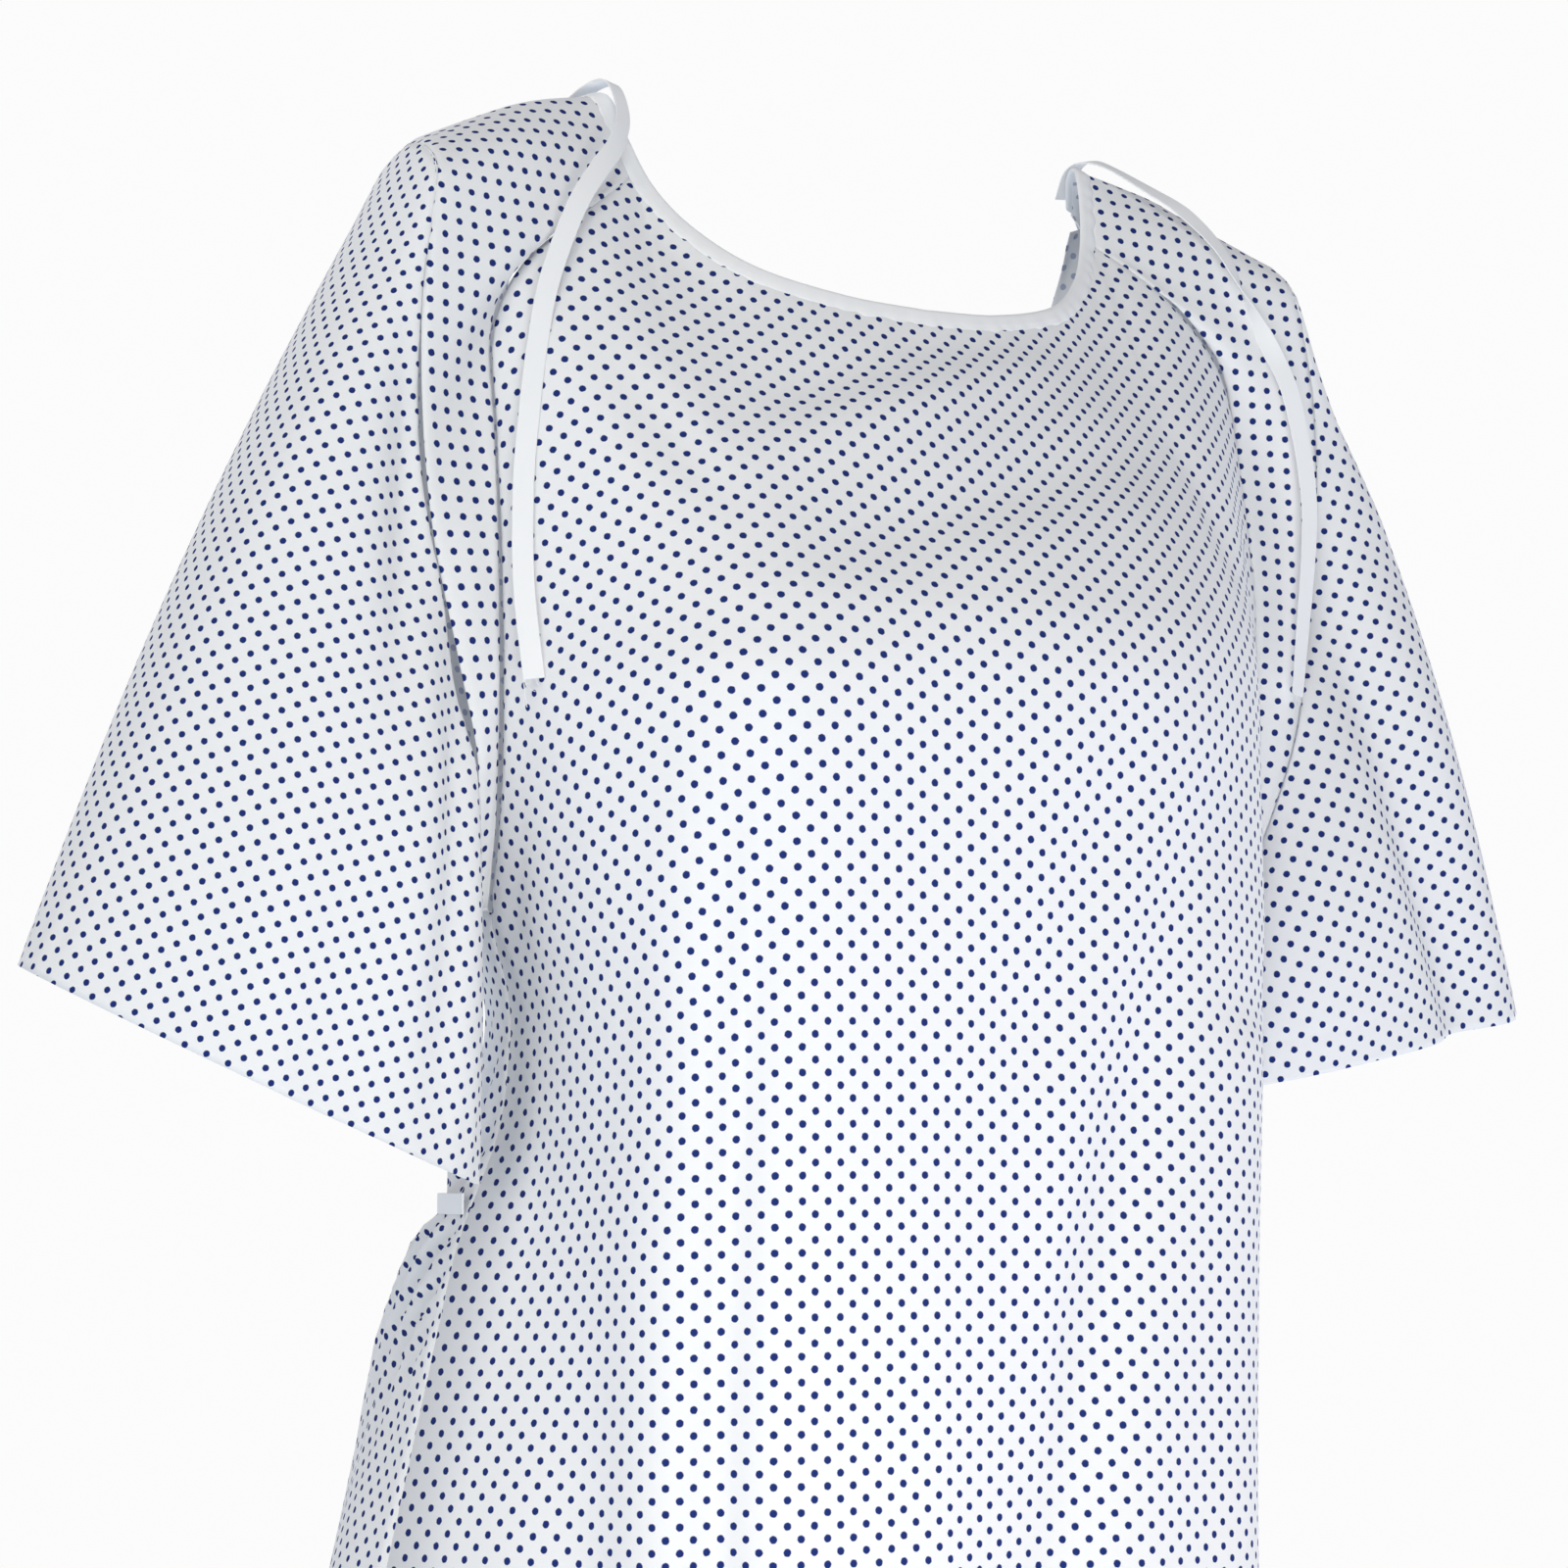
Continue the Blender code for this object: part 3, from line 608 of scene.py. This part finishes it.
def sleeve_grid(side):
    """A sleeve, open along the underarm seam, from the armhole to its hem."""
    ring = armhole()
    outer, inner = np.array(SLEEVE_HEM_OUTER), np.array(SLEEVE_HEM_INNER)
    turn = np.linspace(math.pi, -math.pi, len(ring))
    hem = (outer + inner) / 2 + (outer - inner) / 2 * np.cos(turn)[:, None]
    hem[:, 1] -= SLEEVE_HEM_DEPTH * np.sin(turn)
    hem[:, 2] -= SLEEVE_HEM_DROPS[side] * np.sin(turn)
    hem[:, 2] += SLEEVE_HEM_RISES[side] * (1 - np.cos(turn)) / 2
    rows = []
    for share in np.linspace(0, 1, SLEEVE_ROWS):
        row = ring + (hem - ring) * share
        row[:, 1] -= SLEEVE_FULLNESS * math.sin(math.pi * share) * np.sin(turn)
        row[:, 0] += SLEEVE_CROWN * math.sin(math.pi * share) * np.maximum(0, np.cos(turn))
        rows.append(row)
    grid = np.array(rows)
    height = slack(grid, SLEEVE_SEED + side) * settle(lengths(grid, 0), FOLD_START)
    height *= np.abs(np.sin(turn))[None] ** 0.5
    height += seam_relief(grid, ("first_row",), SLEEVE_SEED + 2) + hem_relief(grid, SLEEVE_SEED + 3 + side)
    height += sum(fold(grid, route, width) for route, width in SLEEVE_FOLDS[side]) * (grid[..., 1] < 0)
    grid = grid + normals(grid, INSIDE_SLEEVE) * height[..., None]
    return grid * np.array([side, 1, 1])


def back_grid(side, side_line):
    """The whole back piece on one side, neck to hem, sharing the front's side seam below the armpit."""
    seam = back_yoke_seam(SEAM_STEPS + 1)
    outer = np.vstack([seam * np.array([side, 1, 1]), side_line[1:]])
    z = outer[:, 2]
    on_seam = np.linspace(0, BACK_SEAM_SHARE, SEAM_STEPS + 1)[:-1]
    drop = (ARMPIT_Z - z[SEAM_STEPS:]) / (ARMPIT_Z - BACK_BOTTOM_Z)
    places = np.concatenate([on_seam, BACK_SEAM_SHARE + (1 - BACK_SEAM_SHARE) * drop])
    upper = smooth_path(BACK_EDGE, CURVE_DENSITY)
    marks = np.linspace(0, 1, CURVE_DENSITY)
    edge = np.stack([np.interp(places, marks, column) for column in upper.T], 1)
    below = z < BACK_BOTTOM_Z
    fall = (BACK_BOTTOM_Z - z[below]) / (BACK_BOTTOM_Z - HEM_Z)
    across = SKIRT_EDGE_TOP + (SKIRT_EDGE_HEM - SKIRT_EDGE_TOP) * fall
    low_edge = back_section(z[below], back_angle(z[below], across), 1)
    low_edge[:, 0] -= centre_x(z[below])
    edge[below] = low_edge
    rows = []
    share = np.linspace(0, 1, BACK_COLUMNS)
    for near, far in zip(edge, outer):
        level = near[2] + (far[2] - near[2]) * share
        first = back_angle(near[2], near[0])
        reached = np.clip(far[1] / value_at(BACK_DEPTHS, far[2]), 0, 1)
        last = np.arccos(reached ** (BACK_SQUARENESS / 2))
        row = back_section(level, first + (last - first) * share, side)
        row += (on_side(near[None], side)[0] - row[0]) * (1 - share[:, None]) ** 2
        row += (far - row[-1]) * share[:, None] ** 2
        rows.append(row)
    return np.array(rows)


def shaped_back(side, side_line):
    """A back piece gathered at the waist tie, fluted below it, with its seams and hem."""
    grid = back_grid(side, side_line)
    distance = np.minimum(from_edge(grid, "first_column")[0], from_edge(grid, "last_column")[0])
    inward = settle(distance, FOLD_START)
    along = lengths(grid, 1)
    from_waist = grid[..., 2] - WAIST_Z
    drawn = 1 - np.exp(-((from_waist / GATHER_FLAT) ** 2))
    drawn *= np.where(from_waist > 0, np.exp(-((from_waist / GATHER_UP) ** 2)),
                      np.exp(-((from_waist / GATHER_DOWN) ** 2)))
    wave = np.sin(2 * math.pi * along / GATHER_PITCH
                  + GATHER_DRIFT * np.sin(along / GATHER_DRIFT_LENGTH + side))
    height = GATHER * wave * drawn * inward
    below = settle(SKIRT_TOP_Z - grid[..., 2], FLUTE_SETTLE)
    turn = np.linspace(0, FLUTES * math.pi, BACK_COLUMNS)[None]
    height += FLUTE * np.sin(turn) * below
    height += slack(grid, BACK_SEED + side) * inward * (1 - np.exp(-((from_waist / GATHER_FLAT) ** 2)))
    height += seam_relief(grid, ("first_row", "first_column"), BACK_SEED + 1 + side) * (1 - below)
    height += hem_relief(grid, BACK_SEED + 3 + side)
    height[:, -1] = 0
    return grid + normals(grid, INSIDE_BODY) * height[..., None]


def linked(name, data):
    """A new object in the scene."""
    obj = bpy.data.objects.new(name, data)
    bpy.context.scene.collection.objects.link(obj)
    return obj


def grid_mesh(name, grid, inside):
    """A grid of points as a mesh with its faces turned away from a point inside the garment."""
    rows, columns = grid.shape[:2]
    first = (np.arange(rows - 1)[:, None] * columns + np.arange(columns - 1)[None]).ravel()
    quads = np.stack([first, first + 1, first + columns + 1, first + columns], 1)
    corners = grid.reshape(-1, 3)[quads]
    face = np.cross(corners[:, 2] - corners[:, 0], corners[:, 3] - corners[:, 1])
    if np.sum(face * (corners.mean(1) - np.array(inside))) < 0:
        quads = quads[:, ::-1]
    mesh = bpy.data.meshes.new(name)
    mesh.from_pydata(grid.reshape(-1, 3).tolist(), [], quads.tolist())
    return linked(name, mesh)


def lay_flat(obj, top, bottom, turn, print_scale):
    """Flattens a panel into its cutting pattern, as UVs in metres with the grain from bottom to top."""
    bpy.ops.object.select_all(action="DESELECT")
    bpy.context.view_layer.objects.active = obj
    obj.select_set(True)
    obj.data.uv_layers.new(name="pattern")
    bpy.ops.object.mode_set(mode="EDIT")
    bpy.ops.mesh.select_all(action="SELECT")
    bpy.ops.uv.unwrap(method="MINIMUM_STRETCH", fill_holes=False, correct_aspect=False,
                      iterations=FLATTEN_ROUNDS, margin=0)
    bpy.ops.object.mode_set(mode="OBJECT")
    mesh = obj.data
    corners = np.empty(len(mesh.loops), np.int32)
    mesh.loops.foreach_get("vertex_index", corners)
    uv = np.empty(len(mesh.loops) * 2)
    mesh.uv_layers["pattern"].data.foreach_get("uv", uv)
    uv = uv.reshape(-1, 2)
    quads = corners.reshape(-1, 4)
    points = np.array([vertex.co for vertex in mesh.vertices])
    solid = points[quads]
    area = np.linalg.norm(np.cross(solid[:, 2] - solid[:, 0], solid[:, 3] - solid[:, 1]), axis=1) / 2
    a, b, c, d = np.moveaxis(uv.reshape(-1, 4, 2), 1, 0)
    flat_area = np.abs((c - a)[:, 0] * (d - b)[:, 1] - (c - a)[:, 1] * (d - b)[:, 0]) / 2
    uv *= math.sqrt(area.sum() / flat_area.sum()) * print_scale
    placed = np.zeros((len(points), 2))
    placed[corners] = uv
    way = placed[top] - placed[bottom]
    angle = math.pi / 2 - math.atan2(way[1], way[0]) + math.radians(turn)
    spin = np.array([[math.cos(angle), math.sin(angle)], [-math.sin(angle), math.cos(angle)]])
    uv = (uv - placed[top]) @ spin
    mesh.uv_layers["pattern"].data.foreach_set("uv", uv.astype(np.float32).ravel())
    return area.sum()


def thicken(obj, materials, hem_rows, columns):
    """Gives a panel its thickness inwards, thicker where its hem is turned, and its two faces."""
    for material in materials:
        obj.data.materials.append(material)
    group = obj.vertex_groups.new(name="turned")
    count = len(obj.data.vertices)
    group.add(list(range(count)), CLOTH_THICK / HEM_THICK, "REPLACE")
    group.add(list(range(count - hem_rows * columns, count)), 1.0, "REPLACE")
    solidify = obj.modifiers.new("Thickness", "SOLIDIFY")
    solidify.thickness = HEM_THICK
    solidify.offset = -1
    solidify.vertex_group = "turned"
    solidify.material_offset = 1
    solidify.material_offset_rim = 0
    evaluated = obj.evaluated_get(bpy.context.evaluated_depsgraph_get())
    mesh = bpy.data.meshes.new_from_object(evaluated)
    obj.modifiers.clear()
    obj.data = mesh
    mesh.shade_smooth()


def panel(name, grid, inside, grain, turn, hem_rows, materials, print_scale=1.0):
    """One cut piece of printed cotton. Grain names the grid points at its top and bottom."""
    columns = grid.shape[1]
    obj = grid_mesh(name, grid, inside)
    top, bottom = (row * columns + column for row, column in grain)
    area = lay_flat(obj, top, bottom, turn, print_scale)
    thicken(obj, materials, hem_rows, columns)
    return obj, area


def oval(width, thick, count=TAPE_SIDES, squareness=TAPE_SQUARENESS):
    """A flat tape's cross-section, nearly square at its edges."""
    turn = np.linspace(0, 2 * math.pi, count, endpoint=False)
    return np.stack([width / 2 * np.sign(np.cos(turn)) * np.abs(np.cos(turn)) ** squareness,
                     thick / 2 * np.sign(np.sin(turn)) * np.abs(np.sin(turn)) ** squareness], 1)


def tube_mesh(name, rings, material):
    """A closed body through rings of points, its ends filled."""
    rings = np.array(rings)
    count, around = rings.shape[:2]
    faces = [tuple(range(around))[::-1], tuple((count - 1) * around + k for k in range(around))]
    for ring in range(count - 1):
        for k in range(around):
            faces.append((ring * around + k, ring * around + (k + 1) % around,
                          (ring + 1) * around + (k + 1) % around, (ring + 1) * around + k))
    mesh = bpy.data.meshes.new(name)
    mesh.from_pydata(rings.reshape(-1, 3).tolist(), [], faces)
    mesh.materials.append(material)
    mesh.shade_smooth()
    mesh.set_sharp_from_angle(angle=math.radians(TAPE_EDGE_ANGLE))
    return linked(name, mesh)


def ribbon(name, path, facing, width, thick, material):
    """A flat tape along a path, its face turned towards facing at each point."""
    along = unit(np.gradient(path, axis=0))
    across = unit(np.cross(along, facing))
    normal = np.cross(across, along)
    section = oval(width, thick)
    rings = [point + section[:, :1] * side + section[:, 1:] * up
             for point, side, up in zip(path, across, normal)]
    obj = tube_mesh(name, rings, material)
    return obj


def neck_binding(material):
    """White tape folded over the neck edge and stitched through near its lower edge."""
    half = smooth_path(NECK_EDGE, BINDING_STEPS)
    half_down = unit(off_neck(half, 1.0) - half)
    edge = np.vstack([mirrored(half[:0:-1]), half])
    down = np.vstack([mirrored(half_down[:0:-1]), half_down])
    along = unit(np.gradient(edge, axis=0))
    out = unit(np.cross(along, down))
    out *= np.sign(np.sum(out * (edge - np.array(INSIDE_BODY)), axis=1))[:, None]
    across = np.linspace(0, 1, BINDING_SIDES)
    bulge = BINDING_THICK / 2 * (1 - (2 * across - 1) ** BINDING_FLATNESS)
    stitched = BINDING_GROOVE * np.exp(-(((across - BINDING_STITCH) / BINDING_STITCH_WIDTH) ** 2))
    place = np.concatenate([across, across[-2:0:-1]])
    height = np.concatenate([bulge - stitched, (stitched - bulge)[-2:0:-1]])
    distance = path_lengths(edge)
    rng = np.random.default_rng(BINDING_SEED)
    wave = np.sin(2 * math.pi * distance / BINDING_PITCH
                  + BINDING_DRIFT * np.sin(2 * math.pi * distance / BINDING_DRIFT_PITCH
                                           + rng.uniform(*WAVE_STARTS)))
    rings = []
    for point, way, normal, swing in zip(edge, down, out, wave):
        width = TAPE_WIDTH + BINDING_WOBBLE * swing
        lift = height + BINDING_PUCKER * swing * place
        rings.append(point + width * place[:, None] * way + lift[:, None] * normal)
    obj = tube_mesh("neck_binding_tape", rings, material)
    return obj


def facing_along(table, count):
    """Which way a ribbon faces along its route, from a table by share of its length."""
    shares = np.linspace(0, 1, count)
    marks = [share for share, _ in table]
    ways = np.array([way for _, way in table], float)
    return unit(np.stack([np.interp(shares, marks, column) for column in ways.T], 1))


def frayed_threads(name, place, way, spread, seed, material):
    """The few threads that stand out of a tape's cut end."""
    rng = np.random.default_rng(seed)
    curve = bpy.data.curves.new(name, "CURVE")
    curve.dimensions = "3D"
    curve.bevel_depth = THREAD_RADIUS
    curve.bevel_resolution = 1
    curve.use_fill_caps = True
    for _ in range(THREADS):
        start = place + spread * rng.uniform(-0.5, 0.5)
        reach_out = rng.uniform(*THREAD_LENGTHS)
        bend = rng.normal(size=3) * THREAD_BEND
        spline = curve.splines.new("POLY")
        spline.points.add(THREAD_POINTS - 1)
        for share, point in zip(np.linspace(0, 1, THREAD_POINTS), spline.points):
            point.co = (*(start + reach_out * share * (way + bend * share)), 1)
    curve.materials.append(material)
    obj = linked(name, curve)
    return obj


def neck_tie(name, route, facings, seed, tape, thread):
    """A limp tape tie, sewn on behind the shoulder and hanging down the front."""
    body = name.replace("neck_tie", "tie")
    path = smooth_path(route, TIE_POINTS)
    facing = facing_along(facings, TIE_POINTS)
    ribbon_piece = ribbon(f"{name}_ribbon", path, facing, TAPE_WIDTH, TAPE_THICK, tape)
    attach(ribbon_piece, body)
    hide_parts(name)
    along = unit(path[-1] - path[-2])
    spread = unit(np.cross(along, facing[-1])) * TAPE_WIDTH
    threads = frayed_threads(f"{name}_threads", path[-1], along, spread, seed, thread)
    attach(threads, body)


def waist_tie(name, side, tape):
    """Tape from the side seam round the back to the knot, drawing the back in."""
    near = back_angle(WAIST_Z, KNOT_ENTRY)
    angle = np.linspace(math.radians(WAIST_TIE_START), near, WAIST_POINTS)
    path = back_section(np.full(WAIST_POINTS, WAIST_Z), angle, side)
    along = unit(np.gradient(path, axis=0))
    out = side * np.cross(along, (0, 0, 1))
    out *= np.sign(out[-1, 1])
    path = path + out * WAIST_TIE_LIFT
    piece = ribbon(f"{name}_ribbon", path, out, TAPE_WIDTH, TAPE_THICK, tape)
    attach(piece, "gown_body")
    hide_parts(name)


def waist_knot(tape):
    """The tied knot: crumpled tape wound through itself along a trefoil."""
    turn = np.linspace(0, 2 * math.pi, KNOT_POINTS)
    size = (KNOT_HIGH - KNOT_LOW) / 2
    room = np.array(size) - KNOT_TAPE
    path = np.stack([(np.sin(turn) + 2 * np.sin(2 * turn)) / 3 * room[0],
                     -np.sin(3 * turn) * room[1],
                     (np.cos(turn) - 2 * np.cos(2 * turn)) / 3 * room[2]], 1)
    path += np.array(KNOT_CENTRE)
    facing = np.stack([np.cos(turn * 2), np.full(KNOT_POINTS, KNOT_FACING_OUT), np.sin(turn * 3)], 1)
    piece = ribbon("waist_knot_tape", path, facing, KNOT_TAPE_WIDTH, KNOT_TAPE_THICK, tape)
    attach(piece, "gown_body")
    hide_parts("waist_knot")


def waist_tail(name, side, tape):
    """The loose end of a waist tie, falling from the knot over its own side of the skirt."""
    z = np.linspace(TAIL_TOP[2], TAIL_TOP[2] - TAIL_LENGTH, TAIL_KNOTS)
    fall = (TAIL_TOP[2] - z) / TAIL_LENGTH
    x = centre_x(z) + side * (TAIL_TOP[0] + TAIL_SPREAD * np.sin(fall * math.pi / 2))
    y = np.maximum(TAIL_TOP[1], value_at(BACK_DEPTHS, z) + TAIL_LIFT)
    start = np.array([[KNOT_CENTRE.x + side * TAIL_TOP[0] / 2, KNOT_CENTRE.y, KNOT_LOW.z]])
    path = smooth_path(np.vstack([start, np.stack([x, y, z], 1)]), TAIL_POINTS)
    along = unit(np.gradient(path, axis=0))
    out = unit(np.array([0, 1.0, 0]) - along * along[:, 1:2])
    piece = ribbon(f"{name}_ribbon", path, out, TAPE_WIDTH, TAPE_THICK, tape)
    hang(piece)
    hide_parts(name)


def hang(piece):
    """Keeps a piece where it is, with its placement baked into its mesh."""
    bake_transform(piece)


def feed(tree, sockets, values):
    """Gives each socket a fixed value or another step's result."""
    for socket, value in zip(sockets, values):
        if isinstance(value, bpy.types.NodeSocket):
            tree.links.new(value, socket)
        else:
            socket.default_value = value


def formula(tree, operation, *values):
    """One step of shader arithmetic on numbers or on other steps' results."""
    node = tree.nodes.new("ShaderNodeMath")
    node.operation = operation
    feed(tree, node.inputs, values)
    return node.outputs[0]


def mixed(tree, share, first, second, blend="MIX"):
    """One colour turned into another by a share."""
    node = tree.nodes.new("ShaderNodeMix")
    node.data_type = "RGBA"
    node.blend_type = blend
    feed(tree, [node.inputs[name] for name in ("Factor", "A", "B")], (share, first, second))
    return node.outputs["Result"]


def smooth_step(tree, value, start, end):
    """Rises smoothly from 0 to 1 as a value goes from start to end."""
    node = tree.nodes.new("ShaderNodeMapRange")
    node.interpolation_type = "SMOOTHSTEP"
    feed(tree, [node.inputs[name] for name in ("Value", "From Min", "From Max")], (value, start, end))
    return node.outputs["Result"]


def dot_distance(tree, u, v, shift):
    """The distance in metres to the nearest dot of one of the two sets of rows."""
    squares = []
    for place, repeat in ((u, REPEAT_ACROSS), (v, REPEAT_ALONG)):
        cell = formula(tree, "FRACT", formula(tree, "MULTIPLY_ADD", place, 1 / repeat, shift))
        away = formula(tree, "MULTIPLY", formula(tree, "SUBTRACT", cell, 0.5), repeat)
        squares.append(formula(tree, "POWER", formula(tree, "ABSOLUTE", away), 2.0))
    return formula(tree, "SQRT", formula(tree, "ADD", *squares))


def noise(tree, vector, scale, detail=2.0):
    """Blender's noise texture, as a value from 0 to 1."""
    node = tree.nodes.new("ShaderNodeTexNoise")
    node.inputs["Scale"].default_value = scale
    node.inputs["Detail"].default_value = detail
    tree.links.new(vector, node.inputs["Vector"])
    return node.outputs["Fac"]


def plain_cloth(name, color, roughness):
    """A matt cloth of one colour, with its node tree and shader for more to be added."""
    material = bpy.data.materials.new(name)
    material.use_nodes = True
    shader = material.node_tree.nodes["Principled BSDF"]
    shader.inputs["Base Color"].default_value = (*color, 1)
    shader.inputs["Roughness"].default_value = roughness
    shader.inputs["Specular IOR Level"].default_value = CLOTH_SHINE
    return material, material.node_tree, shader


def printed_cotton(name, ground, ink):
    """White cotton with its printed dots, placed by the panel's own pattern coordinates."""
    material, tree, shader = plain_cloth(name, ground, CLOTH_ROUGHNESS)
    pattern = tree.nodes.new("ShaderNodeUVMap")
    pattern.uv_map = "pattern"
    split = tree.nodes.new("ShaderNodeSeparateXYZ")
    tree.links.new(pattern.outputs["UV"], split.inputs[0])
    u, v = split.outputs[0], split.outputs[1]
    nearest = formula(tree, "MINIMUM", dot_distance(tree, u, v, 0.0), dot_distance(tree, u, v, 0.5))
    rough = formula(tree, "MULTIPLY_ADD", noise(tree, pattern.outputs["UV"], INK_NOISE_SCALE),
                    INK_NOISE, -INK_NOISE / 2)
    printed = smooth_step(tree, formula(tree, "ADD", nearest, rough),
                          DOT_RADIUS + DOT_EDGE, DOT_RADIUS - DOT_EDGE)
    weave = noise(tree, pattern.outputs["UV"], WEAVE_SCALE, 1.0)
    tone = formula(tree, "MULTIPLY_ADD", weave, WEAVE_TONE, 1 - WEAVE_TONE / 2)
    dotted = mixed(tree, printed, (*ground, 1), (*ink, 1))
    woven = mixed(tree, 1.0, dotted, tone, "MULTIPLY")
    tree.links.new(woven, shader.inputs["Base Color"])
    return material


def make_world():
    """A studio that lights the cloth from behind and below, and is seen as plain white all round."""
    world = bpy.data.worlds.new("studio")
    world.use_nodes = True
    bpy.context.scene.world = world
    tree = world.node_tree
    background = tree.nodes["Background"]
    place = tree.nodes.new("ShaderNodeTexCoord")
    split = tree.nodes.new("ShaderNodeSeparateXYZ")
    tree.links.new(place.outputs["Generated"], split.inputs[0])
    ramp = tree.nodes.new("ShaderNodeValToRGB")
    tree.links.new(formula(tree, "MULTIPLY_ADD", split.outputs[1], 0.5, 0.5), ramp.inputs["Fac"])
    stops = ramp.color_ramp.elements
    while len(stops) < len(WORLD_STOPS):
        stops.new(0.5)
    for stop, (depth, color) in zip(stops, WORLD_STOPS):
        stop.position = (depth + 1) / 2
        stop.color = (*color, 1)
    lit = ramp.outputs["Color"]
    for color, edge in ((WORLD_BELOW, BELOW_EDGE), (WORLD_ABOVE, ABOVE_EDGE)):
        lit = mixed(tree, smooth_step(tree, split.outputs[2], *edge), lit, (*color, 1))
    path = tree.nodes.new("ShaderNodeLightPath")
    seen = mixed(tree, path.outputs["Is Camera Ray"], lit, (*BACKDROP_WHITE, 1))
    tree.links.new(seen, background.inputs["Color"])
    background.inputs["Strength"].default_value = 1.0


def soft_light(name, azimuth, elevation, distance, size, power, color, target_z):
    """A large soft box, placed round the gown by angle. Azimuth -30 is the camera's side."""
    turn, lift = math.radians(azimuth), math.radians(elevation)
    light = bpy.data.lights.new(name, "AREA")
    light.shape = "RECTANGLE"
    light.size, light.size_y = size
    light.energy = power
    light.color = color
    obj = linked(name, light)
    way = Vector((math.sin(turn) * math.cos(lift), -math.cos(turn) * math.cos(lift), math.sin(lift)))
    target = Vector((0, 0, target_z))
    obj.location = target + way * distance
    obj.rotation_euler = (target - obj.location).to_track_quat("-Z", "Y").to_euler()


def make_camera():
    """The photograph's viewing angle: tilted and turned a little off the line to the gown."""
    camera = bpy.data.cameras.new("camera")
    camera.lens = CAMERA_LENS
    camera.sensor_width = CAMERA_SENSOR
    obj = linked("camera", camera)
    turn = math.radians(CAMERA_AZIMUTH)
    obj.location = (CAMERA_DISTANCE * math.sin(turn), -CAMERA_DISTANCE * math.cos(turn), CAMERA_Z)
    obj.rotation_euler = (math.radians(90 + CAMERA_TILT), 0, math.radians(CAMERA_AZIMUTH + CAMERA_PAN))
    bpy.context.scene.camera = obj


def make_floor():
    """A plain pale floor. The cloth is lit by the world from below, so the floor adds no bounce."""
    bpy.ops.mesh.primitive_circle_add(vertices=FLOOR_SIDES, radius=FLOOR_RADIUS, fill_type="NGON",
                                      location=(0, 0, FLOOR_Z))
    floor = bpy.context.object
    floor.name = "studio_floor"
    floor.data.materials.append(plain_cloth("pale_floor", FLOOR_WHITE, CLOTH_ROUGHNESS)[0])
    floor.visible_diffuse = False
    floor.visible_shadow = False


def build_panels(materials):
    """Every cut piece of cotton, joined to its neighbours along shared seam lines."""
    body = np.array(INSIDE_BODY)
    front = shaped_front()
    grain = ((GRAIN_ROW, GRAIN_COLUMN), (front.shape[0] - 1 - len(HEM_LEVELS), GRAIN_COLUMN))
    piece, area = panel("front_panel_cloth", front, body, grain, FRONT_TURN, HEM_THICK_ROWS, materials)
    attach(piece, "gown_body")
    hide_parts("front_panel")
    for name, side, side_line in (("right", -1, front[:, 0]), ("left", 1, front[:, -1])):
        flip = np.array([side, 1, 1])
        yoke = yoke_grid(side)
        piece, area = panel(f"{name}_yoke_cloth", yoke, INSIDE_YOKE * flip, YOKE_GRAIN, YOKE_TURN, 0,
                            materials)
        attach(piece, "gown_body")
        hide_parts(f"{name}_shoulder_yoke")
        arm = sleeve_grid(side)
        grain = ((0, ARM_STEPS), (SLEEVE_ROWS - 1, ARM_STEPS))
        piece, area = panel(f"{name}_sleeve_cloth", arm, INSIDE_SLEEVE * flip, grain, 0.0,
                            SLEEVE_HEM_THICK_ROWS, materials, SLEEVE_PRINT_SCALE[side])
        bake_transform(piece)
        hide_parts(f"{name}_sleeve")
        back = shaped_back(side, side_line)
        middle = BACK_COLUMNS // 2
        grain = ((SEAM_STEPS * 2, middle), (len(back) - 1 - len(HEM_LEVELS), middle))
        piece, area = panel(f"{name}_back_cloth", back, body, grain, 0.0, HEM_THICK_ROWS, materials)
        hang(piece)
        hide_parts(f"{name}_back_panel", f"{name}_back_skirt")


def build_tapes(tape, thread):
    """The neck binding, the neck ties, and the waist ties with their knot and tails."""
    binding = neck_binding(tape)
    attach(binding, "gown_body")
    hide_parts("neck_binding")
    neck_tie("right_neck_tie", RIGHT_NECK_TIE, RIGHT_FACINGS, TIE_SEED, tape, thread)
    neck_tie("left_neck_tie", LEFT_NECK_TIE, LEFT_FACINGS, TIE_SEED + 1, tape, thread)
    waist_knot(tape)
    for name, side in (("right", -1), ("left", 1)):
        waist_tie(f"{name}_waist_tie", side, tape)
        waist_tail(f"{name}_waist_tie_tail", side, tape)


make_camera()
tape_cloth = plain_cloth("white_tape_cloth", TAPE_WHITE, CLOTH_ROUGHNESS)[0]
thread_cloth = plain_cloth("cotton_thread", TAPE_WHITE, CLOTH_ROUGHNESS)[0]
right_side = printed_cotton("cotton_right_side", COTTON_WHITE, NAVY_INK)
wrong_side = printed_cotton("cotton_wrong_side", COTTON_WHITE, FADED_INK)
build_tapes(tape_cloth, thread_cloth)
build_panels((right_side, wrong_side))
make_world()
make_floor()
for light in LIGHTS:
    soft_light(*light)
bpy.context.scene.view_settings.view_transform = "Standard"
bpy.context.view_layer.update()
